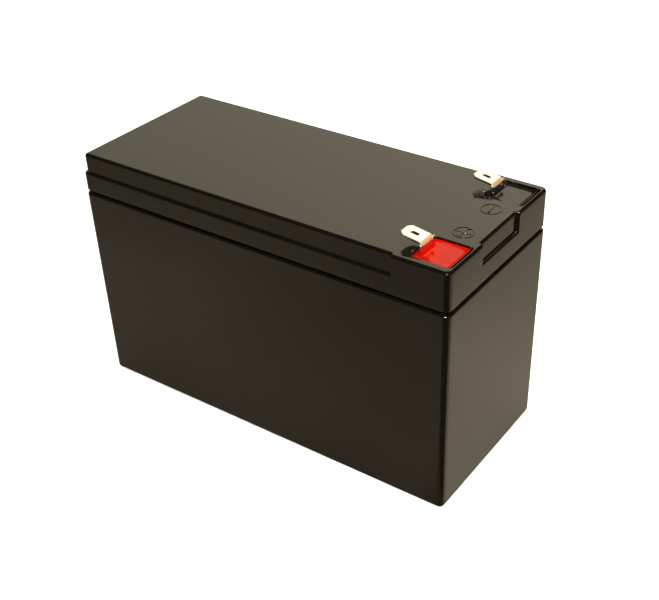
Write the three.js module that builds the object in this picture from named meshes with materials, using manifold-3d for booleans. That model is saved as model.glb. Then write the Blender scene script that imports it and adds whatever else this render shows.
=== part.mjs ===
// A sealed 12 V battery block, 151 x 65 x 93 mm without its two push-on tabs.
// Outside: case, lid, two folded blade tabs standing in resin-filled wells.
// Inside: eight cylindrical cells (four in series, two in parallel) between two holders, nickel strips,
// insulating sheets, foam packing, a protection board and the leads that join them all.
// Millimetres. +X points at the terminal end, -Y is the positive side, +Z is up, the base lies on z = 0.

import * as THREE from 'three';
import { mergeVertices } from 'three/addons/utils/BufferGeometryUtils.js';
import Module from 'manifold-3d';

const wasm = await Module();
wasm.setup();

// ---------------------------------------------------------------- driving dimensions

const LENGTH = 151;
const WIDTH = 65;
const HEIGHT = 93.2;
const GAP = 0.3; // clearance left between pieces that touch on the real object

const CASE_WALL = 2.2;
const CASE_FLOOR = 2.5;
const CASE_TOP = 78.2;
const CORNER_RADIUS = 2.5;
const BASE_ROUND = 1.6;

const LID_INSET = 0.2; // the lid's lower band against the case
const LID_BAND_BOTTOM = 79.2;
const LID_LEDGE = 86.4; // top of the lower band
const LID_STEP_INSET = 1.0; // the lid's upper band against the case
const LID_TOP_THICKNESS = 2.4;
const LID_ROUND = 1.2;
const LID_WALL_INSET = 2.9; // the inside of the lid's walls against the case
const NECK_INSET = 0.8; // bottom of the groove between lid and case
const TONGUE_INSET = 2.6; // the outside of the tongue that slides into the case
const TONGUE_BOTTOM = 75.5;
const TONGUE_THICKNESS = 1.4;
const BLOCK_START = 55; // the full-width block round the terminals starts at this x

const RECESS_HALF_WIDTH = 11.8;
const RECESS_DEPTH = 0.8;

const WELL_LENGTH = 13.5;
const WELL_WIDTH = 14.1;
const WELL_CENTRE_X = 66.75;
const TERMINAL_Y = 22.25;
const WELL_FLOOR_TOP = 85.2;
const WELL_WALL = 1.5;
const WELL_RADIUS = 1.5;
const RESIN_TOP = 92.4;

const MARK_X = 66.6;
const MARK_Y = 8.8;
const MARK_RADIUS = 3.3;
const MARK_STROKE = 0.6;
const MARK_HEIGHT = 0.3;
const MARK_ROOT = 0.4; // how far the marks reach down into the lid

const TAB_WIDTH = 6.35;
const TAB_THICKNESS = 0.8;
const TAB_TIP_X = 53.1;
const TAB_CHAMFER = 1.6;
const TAB_TILT = THREE.MathUtils.degToRad(9);
const TAB_BEND_RADIUS = 1.1;
const TAB_BEND_Z = 94.7;
const TAB_HOLE_X = 57.4;
const TAB_HOLE_LENGTH = 3;
const TAB_HOLE_WIDTH = 1.8;
const TAB_HOLE_RADIUS = 0.5;
const LEG_X = 61.6;
const LEG_BOTTOM = 77.2;
const EAR_WIDTH = 0.95;
const EAR_BOTTOM = 93.5;
const EAR_TOP = 95.6;

const CELL_RADIUS = 13;
const CELL_LENGTH = 65;
const CELL_PITCH = 27.2;
const CELL_COLUMNS = 4;
const CELL_ROWS = 2;
const CAN_CHAMFER = 0.6;
const CRIMP_BELOW_SHOULDER = 3.7;
const CRIMP_HALF_WIDTH = 0.8;
const CRIMP_DEPTH = 0.7;
const BUTTON_RADIUS = 4;
const BUTTON_HEIGHT = 0.9;

const HOLDER_HEIGHT = 8;
const HOLDER_RIM = 1.2;
const HOLDER_CORNER = 4;
const WIRE_NOTCH_HALF = 1.5;
const STRIP_THICKNESS = 0.3;
const STRIP_REACH = 8; // how far a strip runs past the outer cell axes it joins
const WELD_SLOT_HALF_WIDTH = 0.6;
const WELD_SLOT_HALF_LENGTH = 4;
const SHEET_THICKNESS = 0.4;
const SHEET_CORNER = 3;
const BASE_FOAM_THICKNESS = 1.8;
const SIDE_FOAM_THICKNESS = 1.7;
const SIDE_FOAM_CLEARANCE = 0.4;
const END_FOAM_CLEARANCE = 0.5;
const FOAM_CORNER = 1.5;
const TOP_FOAM_X = [-54, -12];
const TOP_FOAM_Y = [-27, 14];

const BOARD_THICKNESS = 1.6;
const BOARD_X = [-4, 44];
const BOARD_HALF_WIDTH = 22;
const BOARD_CORNER = 2;
const BOARD_HOLE_INSET = 3;
const BOARD_HOLE_RADIUS = 1.2;
const TAPE_THICKNESS = 1.2;
const TAPE_X = [-2, 42];
const TAPE_Y = [-10, 10];

const TRANSISTOR_X = [3, 14, 25, 36];
const TRANSISTOR_Y = -12;
const TRANSISTOR_HEIGHT = 2.3;
const FOOT_THICKNESS = 0.6;
const RESISTOR_X = 34;
const RESISTOR_Y = [1, 6];
const RESISTOR_HALF_WIDTH = 1.6;
const CONTROLLER_X = 12;
const CONTROLLER_Y = 2;
const CONTROLLER_HEIGHT = 1.2;
const CONTROLLER_PIN_PITCH = 0.9;
const SOCKET_X = 20;
const SOCKET_HALF_LENGTH = 7.5;
const SOCKET_Y = [11.5, 18.5];
const SOCKET_WALL = 0.9;
const PLUG_END_Y = 23.5;
const PLUG_CLEARANCE = 0.3;

const LEAD_RADIUS = 1.3;
const WIRE_RADIUS = 0.65;
const LEAD_SIDES = 10;
const WIRE_PITCH = 2.5;
const WIRE_SIDES = 8;

// ---------------------------------------------------------------- levels and places worked out from them

const HALF_X = LENGTH / 2;
const HALF_Y = WIDTH / 2;
const LID_UNDERSIDE = HEIGHT - LID_TOP_THICKNESS;
const CAVITY_X = HALF_X - CASE_WALL;
const CAVITY_Y = HALF_Y - CASE_WALL;

const baseFoamZ = CASE_FLOOR + GAP;
const lowerSheetZ = baseFoamZ + BASE_FOAM_THICKNESS + GAP;
const lowerStripZ = lowerSheetZ + SHEET_THICKNESS + GAP;
const cellZ = lowerStripZ + STRIP_THICKNESS + GAP;
const cellTop = cellZ + CELL_LENGTH;
const upperStripZ = cellTop + GAP;
const upperSheetZ = upperStripZ + STRIP_THICKNESS + GAP;
const tapeZ = upperSheetZ + SHEET_THICKNESS + GAP;
const boardZ = tapeZ + TAPE_THICKNESS + GAP;
const boardTop = boardZ + BOARD_THICKNESS;
const onBoard = boardTop + GAP;
const plugZ = onBoard + 2.95;

const lastColumnX = (CELL_COLUMNS - 1) / 2 * CELL_PITCH;
const rowY = CELL_PITCH / 2;
const holderHalfX = lastColumnX + CELL_RADIUS + HOLDER_RIM;
const holderHalfY = rowY + CELL_RADIUS + HOLDER_RIM;
const columnX = (column) => column * CELL_PITCH - lastColumnX;

// Sense wires drop between neighbouring cells on the +Y side at these places.
const dropX = CELL_PITCH;
const dropY = 25.5;

// ---------------------------------------------------------------- shapes

function roundedRect(halfX, halfY, radius, centreX = 0, centreY = 0) {
  const shape = new THREE.Shape();
  const left = centreX - halfX;
  const right = centreX + halfX;
  const low = centreY - halfY;
  const high = centreY + halfY;
  shape.absarc(right - radius, low + radius, radius, -Math.PI / 2, 0);
  shape.absarc(right - radius, high - radius, radius, 0, Math.PI / 2);
  shape.absarc(left + radius, high - radius, radius, Math.PI / 2, Math.PI);
  shape.absarc(left + radius, low + radius, radius, Math.PI, Math.PI * 1.5);
  shape.closePath();
  return shape;
}

function circle(radius, x = 0, y = 0) {
  return new THREE.Shape().absarc(x, y, radius, 0, Math.PI * 2);
}

function polygon(points) {
  return new THREE.Shape(points.map(([x, y]) => new THREE.Vector2(x, y)));
}

// A prism from zLow to zHigh. Its ends are rounded over by `round`, inside the given outline.
function prism(shape, zLow, zHigh, { round = 0, segments = 5 } = {}) {
  const geometry = new THREE.ExtrudeGeometry(shape, {
    depth: zHigh - zLow - 2 * round,
    curveSegments: segments,
    bevelEnabled: round > 0,
    bevelThickness: round,
    bevelSize: round,
    bevelOffset: -round,
    bevelSegments: 3,
  });
  return geometry.translate(0, 0, zLow + round);
}

function block(x, y, z) {
  const geometry = new THREE.BoxGeometry(x[1] - x[0], y[1] - y[0], z[1] - z[0]);
  return geometry.translate((x[0] + x[1]) / 2, (y[0] + y[1]) / 2, (z[0] + z[1]) / 2);
}

// A bar with the given even number of sides along a smooth curve through the given points.
function tube(points, radius, steps, sides) {
  const path = new THREE.CatmullRomCurve3(points.map((point) => new THREE.Vector3(...point)));
  const options = { steps, extrudePath: path, bevelEnabled: false, curveSegments: sides / 2 };
  return new THREE.ExtrudeGeometry(circle(radius), options);
}

// ---------------------------------------------------------------- joining and cutting

function toSolid(geometry) {
  const bare = geometry.clone();
  bare.deleteAttribute('normal');
  bare.deleteAttribute('uv');
  const merged = mergeVertices(bare, 1e-4);
  const mesh = new wasm.Mesh({
    numProp: 3,
    vertProperties: new Float32Array(merged.attributes.position.array),
    triVerts: new Uint32Array(merged.index.array),
  });
  return new wasm.Manifold(mesh);
}

function toGeometry(solid) {
  const mesh = solid.getMesh();
  const geometry = new THREE.BufferGeometry();
  geometry.setAttribute('position', new THREE.BufferAttribute(mesh.vertProperties, 3));
  geometry.setIndex(new THREE.BufferAttribute(mesh.triVerts, 1));
  return geometry;
}

function join(...geometries) {
  const solids = geometries.map(toSolid);
  return toGeometry(solids.reduce((whole, piece) => whole.add(piece)));
}

function cut(geometry, ...tools) {
  const solids = tools.map(toSolid);
  return toGeometry(solids.reduce((whole, tool) => whole.subtract(tool), toSolid(geometry)));
}

function common(first, second) {
  return toGeometry(toSolid(first).intersect(toSolid(second)));
}

// ---------------------------------------------------------------- case and lid

function makeCase() {
  const rounded = prism(roundedRect(HALF_X, HALF_Y, CORNER_RADIUS), 0, HEIGHT, { round: BASE_ROUND });
  const cavity = prism(roundedRect(CAVITY_X, CAVITY_Y, 1), CASE_FLOOR, HEIGHT, { segments: 2 });
  const above = block([-LENGTH, LENGTH], [-WIDTH, WIDTH], [CASE_TOP, 2 * HEIGHT]);
  return cut(rounded, cavity, above);
}

function lidShell() {
  const outline = (inset) => roundedRect(HALF_X - inset, HALF_Y - inset, CORNER_RADIUS - inset / 2);
  const band = prism(outline(LID_INSET), LID_BAND_BOTTOM, LID_LEDGE, { round: 0.4 });
  const neck = prism(outline(NECK_INSET), CASE_TOP + GAP, LID_BAND_BOTTOM + 2);
  const upper = prism(outline(LID_STEP_INSET), LID_BAND_BOTTOM + 1, HEIGHT, { round: LID_ROUND });
  const whole = prism(outline(LID_INSET), LID_BAND_BOTTOM + 1, HEIGHT, { round: LID_ROUND });
  const terminalEnd = block([BLOCK_START, LENGTH], [-WIDTH, WIDTH], [0, 2 * HEIGHT]);
  const tongue = prism(outline(TONGUE_INSET), TONGUE_BOTTOM, LID_BAND_BOTTOM + 2, { segments: 2 });
  return join(band, neck, upper, common(whole, terminalEnd), tongue);
}

function lidHollow() {
  const tongueInside = TONGUE_INSET + TONGUE_THICKNESS;
  const lower = roundedRect(HALF_X - tongueInside, HALF_Y - tongueInside, 1);
  const upper = roundedRect(HALF_X - LID_WALL_INSET, HALF_Y - LID_WALL_INSET, 1);
  const throat = prism(lower, TONGUE_BOTTOM - 1, LID_BAND_BOTTOM + 2, { segments: 2 });
  return join(throat, prism(upper, LID_BAND_BOTTOM + 1, LID_UNDERSIDE, { segments: 2 }));
}

function wellOutline(side, grow) {
  const half = [WELL_LENGTH / 2 + grow, WELL_WIDTH / 2 + grow];
  return roundedRect(...half, WELL_RADIUS + grow, WELL_CENTRE_X, side * TERMINAL_Y);
}

// The slot that a tab's leg passes through, between two levels.
function legSlot(side, zLow, zHigh) {
  const x = [LEG_X - TAB_THICKNESS / 2 - GAP, LEG_X + TAB_THICKNESS / 2 + GAP];
  const half = TAB_WIDTH / 2 + GAP;
  return block(x, [side * TERMINAL_Y - half, side * TERMINAL_Y + half], [zLow, zHigh]);
}

// The hanging pocket that holds a terminal: solid first, then its well and the slot for the tab's leg.
function wellPocket(side) {
  return prism(wellOutline(side, WELL_WALL), WELL_FLOOR_TOP - WELL_WALL, LID_UNDERSIDE + 1, { segments: 3 });
}

function wellVoid(side) {
  const well = prism(wellOutline(side, 0), WELL_FLOOR_TOP, HEIGHT + 1, { segments: 4 });
  return join(well, legSlot(side, WELL_FLOOR_TOP - 2 * WELL_WALL, WELL_FLOOR_TOP + 1));
}

// A circle with one bar (minus) or two (plus), standing just above the lid.
function polarityMark(y, isPlus) {
  const ring = circle(MARK_RADIUS + MARK_STROKE / 2, MARK_X, y);
  ring.holes.push(circle(MARK_RADIUS - MARK_STROKE / 2, MARK_X, y));
  const z = [HEIGHT - MARK_ROOT, HEIGHT + MARK_HEIGHT];
  const half = MARK_STROKE / 2;
  const across = block([MARK_X - half, MARK_X + half], [y - MARK_RADIUS, y + MARK_RADIUS], z);
  const along = block([MARK_X - MARK_RADIUS, MARK_X + MARK_RADIUS], [y - half, y + half], z);
  const bars = isPlus ? [across, along] : [across];
  return join(prism(ring, ...z, { segments: 12 }), ...bars);
}

function makeLid() {
  const recessX = [HALF_X - LID_INSET - RECESS_DEPTH, LENGTH];
  const recess = block(recessX, [-RECESS_HALF_WIDTH, RECESS_HALF_WIDTH], [LID_LEDGE, HEIGHT + 1]);
  const hollow = cut(lidShell(), lidHollow(), recess);
  const withPockets = join(hollow, wellPocket(-1), wellPocket(1));
  const withWells = cut(withPockets, wellVoid(-1), wellVoid(1));
  return join(withWells, polarityMark(-MARK_Y, true), polarityMark(MARK_Y, false));
}

// ---------------------------------------------------------------- terminals

// Side view of a tab: a straight leg, a bend, and a blade that rises slightly towards its tip.
function tabProfile() {
  const half = TAB_THICKNESS / 2;
  const turn = Math.PI / 2 - TAB_TILT;
  const bend = new THREE.Vector2(LEG_X - TAB_BEND_RADIUS, TAB_BEND_Z);
  const reach = (bend.x - TAB_TIP_X) / Math.cos(TAB_TILT);
  const along = new THREE.Vector2(-Math.cos(TAB_TILT), Math.sin(TAB_TILT));
  const normal = new THREE.Vector2(Math.sin(TAB_TILT), Math.cos(TAB_TILT));
  const tip = (radius) => bend.clone().addScaledVector(normal, radius).addScaledVector(along, reach);
  const outer = TAB_BEND_RADIUS + half;
  const inner = TAB_BEND_RADIUS - half;
  const shape = new THREE.Shape();
  shape.moveTo(LEG_X + half, LEG_BOTTOM);
  shape.absarc(bend.x, bend.y, outer, 0, turn);
  shape.lineTo(tip(outer).x, tip(outer).y);
  shape.lineTo(tip(inner).x, tip(inner).y);
  shape.absarc(bend.x, bend.y, inner, turn, 0, true);
  shape.lineTo(LEG_X - half, LEG_BOTTOM);
  shape.closePath();
  return shape;
}

function makeTerminal(side) {
  const y = side * TERMINAL_Y;
  const half = TAB_WIDTH / 2;
  const options = { depth: 2 * TAB_WIDTH, bevelEnabled: false, curveSegments: 6 };
  const bar = new THREE.ExtrudeGeometry(tabProfile(), options);
  bar.rotateX(Math.PI / 2).translate(0, y + TAB_WIDTH, 0);
  const plan = polygon([
    [TAB_TIP_X - 1, y + half - TAB_CHAMFER - 1],
    [TAB_TIP_X - 1, y - half + TAB_CHAMFER + 1],
    [TAB_TIP_X + TAB_CHAMFER, y - half],
    [LEG_X + 2, y - half],
    [LEG_X + 2, y + half],
    [TAB_TIP_X + TAB_CHAMFER, y + half],
  ]);
  const blank = common(bar, prism(plan, LEG_BOTTOM - 1, HEIGHT * 1.2));
  const holeHalf = [TAB_HOLE_LENGTH / 2, TAB_HOLE_WIDTH / 2];
  const holeOutline = roundedRect(...holeHalf, TAB_HOLE_RADIUS, TAB_HOLE_X, y);
  const hole = prism(holeOutline, HEIGHT, HEIGHT * 1.2, { segments: 3 });
  const legX = [LEG_X - TAB_THICKNESS / 2, LEG_X + TAB_THICKNESS / 2];
  const ears = [-1, 1].map((end) => {
    const ends = [y + end * (half - 0.2), y + end * (half + EAR_WIDTH)].sort((a, b) => a - b);
    return block(legX, ends, [EAR_BOTTOM, EAR_TOP]);
  });
  return join(cut(blank, hole), ...ears);
}

function makeResinFill(side) {
  const fill = prism(wellOutline(side, -GAP), WELL_FLOOR_TOP + GAP, RESIN_TOP, { segments: 4 });
  return cut(fill, legSlot(side, WELL_FLOOR_TOP, HEIGHT));
}

// ---------------------------------------------------------------- cells and their holders

// A can with a crimp groove near its positive end, a raised button there and a flat base.
function makeCell(column, row) {
  const shoulder = CELL_LENGTH - BUTTON_HEIGHT;
  const crimp = shoulder - CRIMP_BELOW_SHOULDER;
  const profile = [
    [0, 0],
    [CELL_RADIUS - CAN_CHAMFER, 0],
    [CELL_RADIUS, CAN_CHAMFER],
    [CELL_RADIUS, crimp - CRIMP_HALF_WIDTH],
    [CELL_RADIUS - CRIMP_DEPTH, crimp],
    [CELL_RADIUS, crimp + CRIMP_HALF_WIDTH],
    [CELL_RADIUS, shoulder - CAN_CHAMFER],
    [CELL_RADIUS - CAN_CHAMFER, shoulder],
    [BUTTON_RADIUS, shoulder],
    [BUTTON_RADIUS, CELL_LENGTH],
    [0, CELL_LENGTH],
  ];
  const points = profile.map(([radius, height]) => new THREE.Vector2(radius, height));
  const can = new THREE.LatheGeometry(points, 20).rotateX(Math.PI / 2);
  const positiveUp = column % 2 === 1;
  if (!positiveUp) {
    can.rotateX(Math.PI).translate(0, 0, CELL_LENGTH);
  }
  return can.translate(columnX(column), (row * 2 - 1) * rowY, cellZ);
}

function makeHolder(z) {
  const plate = roundedRect(holderHalfX, holderHalfY, HOLDER_CORNER);
  for (let column = 0; column < CELL_COLUMNS; column += 1) {
    for (let row = 0; row < CELL_ROWS; row += 1) {
      plate.holes.push(circle(CELL_RADIUS + GAP, columnX(column), (row * 2 - 1) * rowY));
    }
  }
  const body = prism(plate, z, z + HOLDER_HEIGHT, { segments: 10 });
  const notches = [-dropX, dropX].map((x) => {
    const across = [x - WIRE_NOTCH_HALF, x + WIRE_NOTCH_HALF];
    return block(across, [dropY - WIRE_NOTCH_HALF, HALF_Y], [z - 1, z + HOLDER_HEIGHT + 1]);
  });
  return cut(body, ...notches);
}

// ---------------------------------------------------------------- nickel strips, sheets and foam

// A strip over whole columns of cells, slotted between the cells it spans, with solder tabs at its edge.
function makeStrip(firstColumn, lastColumn, z, tabs) {
  const x = [columnX(firstColumn) - STRIP_REACH, columnX(lastColumn) + STRIP_REACH];
  const y = [-rowY - STRIP_REACH, rowY + STRIP_REACH];
  const level = [z, z + STRIP_THICKNESS];
  const through = [z - 1, z + 1];
  const pieces = tabs.map((tab) => block(tab.x, tab.y, level));
  const slots = [];
  for (let column = firstColumn; column <= lastColumn; column += 1) {
    const across = [columnX(column) - WELD_SLOT_HALF_WIDTH, columnX(column) + WELD_SLOT_HALF_WIDTH];
    for (const y of [-rowY, rowY]) {
      slots.push(block(across, [y - WELD_SLOT_HALF_LENGTH, y + WELD_SLOT_HALF_LENGTH], through));
    }
  }
  return cut(join(block(x, y, level), ...pieces), ...slots);
}

function makeSheet(z) {
  return prism(roundedRect(holderHalfX, holderHalfY, SHEET_CORNER), z, z + SHEET_THICKNESS);
}

// Open over the solder tabs of the strips below it.
function makeUpperSheet() {
  const level = [upperSheetZ - 1, upperSheetZ + 1];
  const negativeNotch = block([-34.5, -25.5], [16.5, HALF_Y], level);
  const senseNotch = block([17.5, 29], [23, HALF_Y], level);
  const positiveEnd = block([46.5, LENGTH], [-HALF_Y, HALF_Y], level);
  return cut(makeSheet(upperSheetZ), negativeNotch, senseNotch, positiveEnd);
}

function foamBlock(x, y, z) {
  const halfX = (x[1] - x[0]) / 2;
  const halfY = (y[1] - y[0]) / 2;
  const radius = Math.min(FOAM_CORNER, halfX / 2, halfY / 2);
  return prism(roundedRect(halfX, halfY, radius, x[0] + halfX, y[0] + halfY), ...z, { segments: 3 });
}

// ---------------------------------------------------------------- protection board

function makeBoard() {
  const halfX = (BOARD_X[1] - BOARD_X[0]) / 2;
  const outline = roundedRect(halfX, BOARD_HALF_WIDTH, BOARD_CORNER, BOARD_X[0] + halfX, 0);
  const holeY = BOARD_HALF_WIDTH - BOARD_HOLE_INSET;
  for (const x of [BOARD_X[0] + BOARD_HOLE_INSET, BOARD_X[1] - BOARD_HOLE_INSET]) {
    for (const y of [-holeY, holeY]) {
      outline.holes.push(circle(BOARD_HOLE_RADIUS, x, y));
    }
  }
  return prism(outline, boardZ, boardTop, { segments: 4 });
}

// A flat power package: a moulded body, a metal tab on one side and three feet on the other.
function makePowerTransistor(x, y) {
  const footZ = [onBoard, onBoard + FOOT_THICKNESS];
  const body = block([x - 3.3, x + 3.3], [y - 3, y + 3], [onBoard, onBoard + TRANSISTOR_HEIGHT]);
  const tab = block([x - 2.7, x + 2.7], [y + 2.5, y + 4.2], footZ);
  const feet = [-2.3, 0, 2.3].map((step) => {
    return block([x + step - 0.4, x + step + 0.4], [y - 5.2, y - 2.5], footZ);
  });
  return join(body, tab, ...feet);
}

function makeSenseResistor(x, y) {
  const across = [y - RESISTOR_HALF_WIDTH, y + RESISTOR_HALF_WIDTH];
  const body = block([x - 2.3, x + 2.3], across, [onBoard + 0.1, onBoard + 0.8]);
  const ends = [-1, 1].map((end) => {
    const reach = [x + end * 2, x + end * 3.2].sort((a, b) => a - b);
    return block(reach, across, [onBoard, onBoard + 0.7]);
  });
  return join(body, ...ends);
}

function makeController(x, y) {
  const body = block([x - 3.2, x + 3.2], [y - 2.2, y + 2.2], [onBoard + 0.1, onBoard + CONTROLLER_HEIGHT]);
  const feet = [];
  for (let pin = -3; pin <= 3; pin += 1) {
    const centre = x + pin * CONTROLLER_PIN_PITCH;
    feet.push(block([centre - 0.2, centre + 0.2], [y - 3.2, y + 3.2], [onBoard, onBoard + 0.4]));
  }
  return join(body, ...feet);
}

// A box open towards +Y, with the plug's nose inside it.
function makeBalanceSocket() {
  const x = [SOCKET_X - SOCKET_HALF_LENGTH, SOCKET_X + SOCKET_HALF_LENGTH];
  const shell = block(x, SOCKET_Y, [onBoard, plugZ + 2.6]);
  const mouthX = [x[0] + SOCKET_WALL, x[1] - SOCKET_WALL];
  const mouth = block(mouthX, [SOCKET_Y[0] + 1.5, SOCKET_Y[1] + 1.5], [plugZ - 2, plugZ + 1.8]);
  return cut(shell, mouth);
}

function makeBalancePlug() {
  const half = SOCKET_HALF_LENGTH - SOCKET_WALL - PLUG_CLEARANCE;
  const nose = block([SOCKET_X - half, SOCKET_X + half], [13.3, 19.5], [plugZ - 1.6, plugZ + 1.4]);
  const gripX = [SOCKET_X - half - 0.6, SOCKET_X + half + 0.6];
  const grip = block(gripX, [SOCKET_Y[1] + 0.4, PLUG_END_Y], [plugZ - 1.9, plugZ + 1.9]);
  return join(nose, grip);
}

// ---------------------------------------------------------------- leads and sense wires

const leadOnStrip = upperStripZ + STRIP_THICKNESS + GAP + LEAD_RADIUS;
const leadOnBoard = boardTop + GAP + LEAD_RADIUS;
const leadAtLeg = LEG_X - TAB_THICKNESS / 2 - GAP - LEAD_RADIUS;
const leadTop = WELL_FLOOR_TOP - WELL_WALL - 0.5;

function makePositiveLead() {
  return tube([
    [50, -21.5, leadOnStrip],
    [54.5, -21.8, leadOnStrip + 0.3],
    [58.5, -22.2, 75.4],
    [leadAtLeg, -TERMINAL_Y, 79],
    [leadAtLeg, -TERMINAL_Y, leadTop],
  ], LEAD_RADIUS, 14, LEAD_SIDES);
}

function makeNegativeOutputLead() {
  return tube([
    [38, 13, leadOnBoard],
    [44, 14.6, leadOnBoard],
    [51, 18.4, leadOnBoard + 0.2],
    [57.4, 21.4, 78.4],
    [leadAtLeg, TERMINAL_Y, 80.8],
    [leadAtLeg, TERMINAL_Y, leadTop],
  ], LEAD_RADIUS, 18, LEAD_SIDES);
}

function makeCellNegativeLead() {
  return tube([
    [-31, 21, leadOnStrip],
    [-27.5, 21, leadOnStrip + 0.2],
    [-22, 20.9, leadOnStrip + 1.2],
    [-13, 19.5, leadOnStrip + 2.9],
    [-5, 16, leadOnBoard + 0.3],
    [2, 14, leadOnBoard],
  ], LEAD_RADIUS, 18, LEAD_SIDES);
}

const wireEndZ = upperStripZ + STRIP_THICKNESS + GAP + WIRE_RADIUS;
const wireFootZ = lowerStripZ + STRIP_THICKNESS + GAP;
const dropTo = (x) => [
  [x, dropY, 71.5],
  [x, dropY, 60],
  [x, dropY, 30],
  [x, dropY, wireFootZ],
];

// Where each sense wire goes after it has left the plug, from the most negative tap to the positive one.
const WIRE_ROUTES = [
  [[14.6, 25.4, 79], [10, 26.5, 78.6], [0, 26.6, 77.9], [-16, 25.5, 77.4], [-26, 22, 76.6],
    [-31, 19.4, 74.8], [-31.6, 18.4, wireEndZ]],
  [[17.3, 25.8, 78.4], [14.5, 26.4, 76.5], [6, 26.4, 75.2], [-20, 26.2, 74.9], [-26.4, 25.7, 74.2],
    ...dropTo(-dropX)],
  [[20, 25.6, 78.3], [20, 26, 76.2], [20, 25.2, 73.8], [20, 25, wireEndZ - WIRE_RADIUS]],
  [[22.8, 25.6, 78.4], [25, 26.2, 76.2], [26.9, 25.7, 73.6], ...dropTo(dropX)],
  [[25.5, 25.4, 79], [29, 26.6, 78.6], [38, 26.6, 77], [46, 25, 74.8], [50, 21.6, 73.4],
    [51.6, 19, wireEndZ]],
];
const WIRE_STEPS = [26, 36, 8, 32, 22];

function makeSenseWire(index) {
  const pinX = SOCKET_X + (index - 2) * WIRE_PITCH;
  const start = [pinX, PLUG_END_Y + GAP, plugZ];
  return tube([start, ...WIRE_ROUTES[index]], WIRE_RADIUS, WIRE_STEPS[index], WIRE_SIDES);
}

// ---------------------------------------------------------------- materials and assembly

const finish = (color, roughness, metalness = 0) => ({ color, roughness, metalness });
const BLACK_PLASTIC = finish(0x2a2722, 0.3);
const TINNED_BRASS = finish(0xd9cfc0, 0.25, 1);
const RED_RESIN = finish(0xe0301f, 0.1);
const BLACK_RESIN = finish(0x24221e, 0.12);
const CELL_SLEEVE = finish(0x2c6fa8, 0.4);
const HOLDER_PLASTIC = finish(0x3a3b3d, 0.55);
const NICKEL = finish(0xb9b7ae, 0.3, 1);
const FISH_PAPER = finish(0xc9c4a6, 0.85);
const FOAM = finish(0x4a4b4d, 0.95);
const BOARD_GREEN = finish(0x1f5a34, 0.45);
const CHIP_BLACK = finish(0x1b1b1c, 0.5);
const NYLON_WHITE = finish(0xe9e6dc, 0.5);
const RED_SLEEVE = finish(0xb3201a, 0.45);
const BLACK_SLEEVE = finish(0x1c1c1c, 0.45);
const WIRE_COLOURS = [0x1c1c1c, 0x3b6fb0, 0xd8c23a, 0xe8e4da, 0xb3201a];

const group = new THREE.Group();

function add(name, geometry, look) {
  const mesh = new THREE.Mesh(geometry, new THREE.MeshStandardMaterial(look));
  mesh.name = name;
  group.add(mesh);
}

function addShell() {
  add('case', makeCase(), BLACK_PLASTIC);
  add('lid', makeLid(), BLACK_PLASTIC);
  add('positive_terminal', makeTerminal(-1), TINNED_BRASS);
  add('negative_terminal', makeTerminal(1), TINNED_BRASS);
  add('positive_terminal_seal', makeResinFill(-1), RED_RESIN);
  add('negative_terminal_seal', makeResinFill(1), BLACK_RESIN);
}

function addCells() {
  for (let column = 0; column < CELL_COLUMNS; column += 1) {
    for (let row = 0; row < CELL_ROWS; row += 1) {
      add(`cell_${column * CELL_ROWS + row + 1}`, makeCell(column, row), CELL_SLEEVE);
    }
  }
  add('lower_cell_holder', makeHolder(cellZ), HOLDER_PLASTIC);
  add('upper_cell_holder', makeHolder(cellTop - HOLDER_HEIGHT), HOLDER_PLASTIC);
}

function addStrips() {
  const dropTab = (x) => ({ x: [x - 2.2, x + 2.2], y: [rowY, dropY + 1.3] });
  add('lower_strip_left', makeStrip(0, 1, lowerStripZ, [dropTab(-dropX)]), NICKEL);
  add('lower_strip_right', makeStrip(2, 3, lowerStripZ, [dropTab(dropX)]), NICKEL);
  add('negative_strip', makeStrip(0, 0, upperStripZ, [{ x: [-40, -28.8], y: [17.2, 21.5] }]), NICKEL);
  add('middle_strip', makeStrip(1, 2, upperStripZ, [{ x: [18, 21.5], y: [rowY, dropY + 1] }]), NICKEL);
  const outputTabs = [{ x: [40, 55], y: [-24.5, -18] }, { x: [40, 54.5], y: [15.5, 21.5] }];
  add('positive_strip', makeStrip(3, 3, upperStripZ, outputTabs), NICKEL);
}

function addSheetsAndFoam() {
  const endX = [holderHalfX + 1, CAVITY_X - END_FOAM_CLEARANCE];
  const fullX = [-endX[1], endX[1]];
  const fullY = [-CAVITY_Y + END_FOAM_CLEARANCE, CAVITY_Y - END_FOAM_CLEARANCE];
  const sideX = [-holderHalfX, holderHalfX];
  const sideOuter = CAVITY_Y - SIDE_FOAM_CLEARANCE;
  const sideInner = sideOuter - SIDE_FOAM_THICKNESS;
  const packZ = [lowerSheetZ, cellTop];
  add('lower_insulating_sheet', makeSheet(lowerSheetZ), FISH_PAPER);
  add('upper_insulating_sheet', makeUpperSheet(), FISH_PAPER);
  add('base_foam', foamBlock(fullX, fullY, [baseFoamZ, baseFoamZ + BASE_FOAM_THICKNESS]), FOAM);
  add('left_end_foam', foamBlock([-endX[1], -endX[0]], fullY, packZ), FOAM);
  add('right_end_foam', foamBlock(endX, fullY, packZ), FOAM);
  add('front_foam', foamBlock(sideX, [-sideOuter, -sideInner], packZ), FOAM);
  add('back_foam', foamBlock(sideX, [sideInner, sideOuter], packZ), FOAM);
  add('top_foam', foamBlock(TOP_FOAM_X, TOP_FOAM_Y, [tapeZ, LID_UNDERSIDE - GAP]), FOAM);
}

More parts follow.
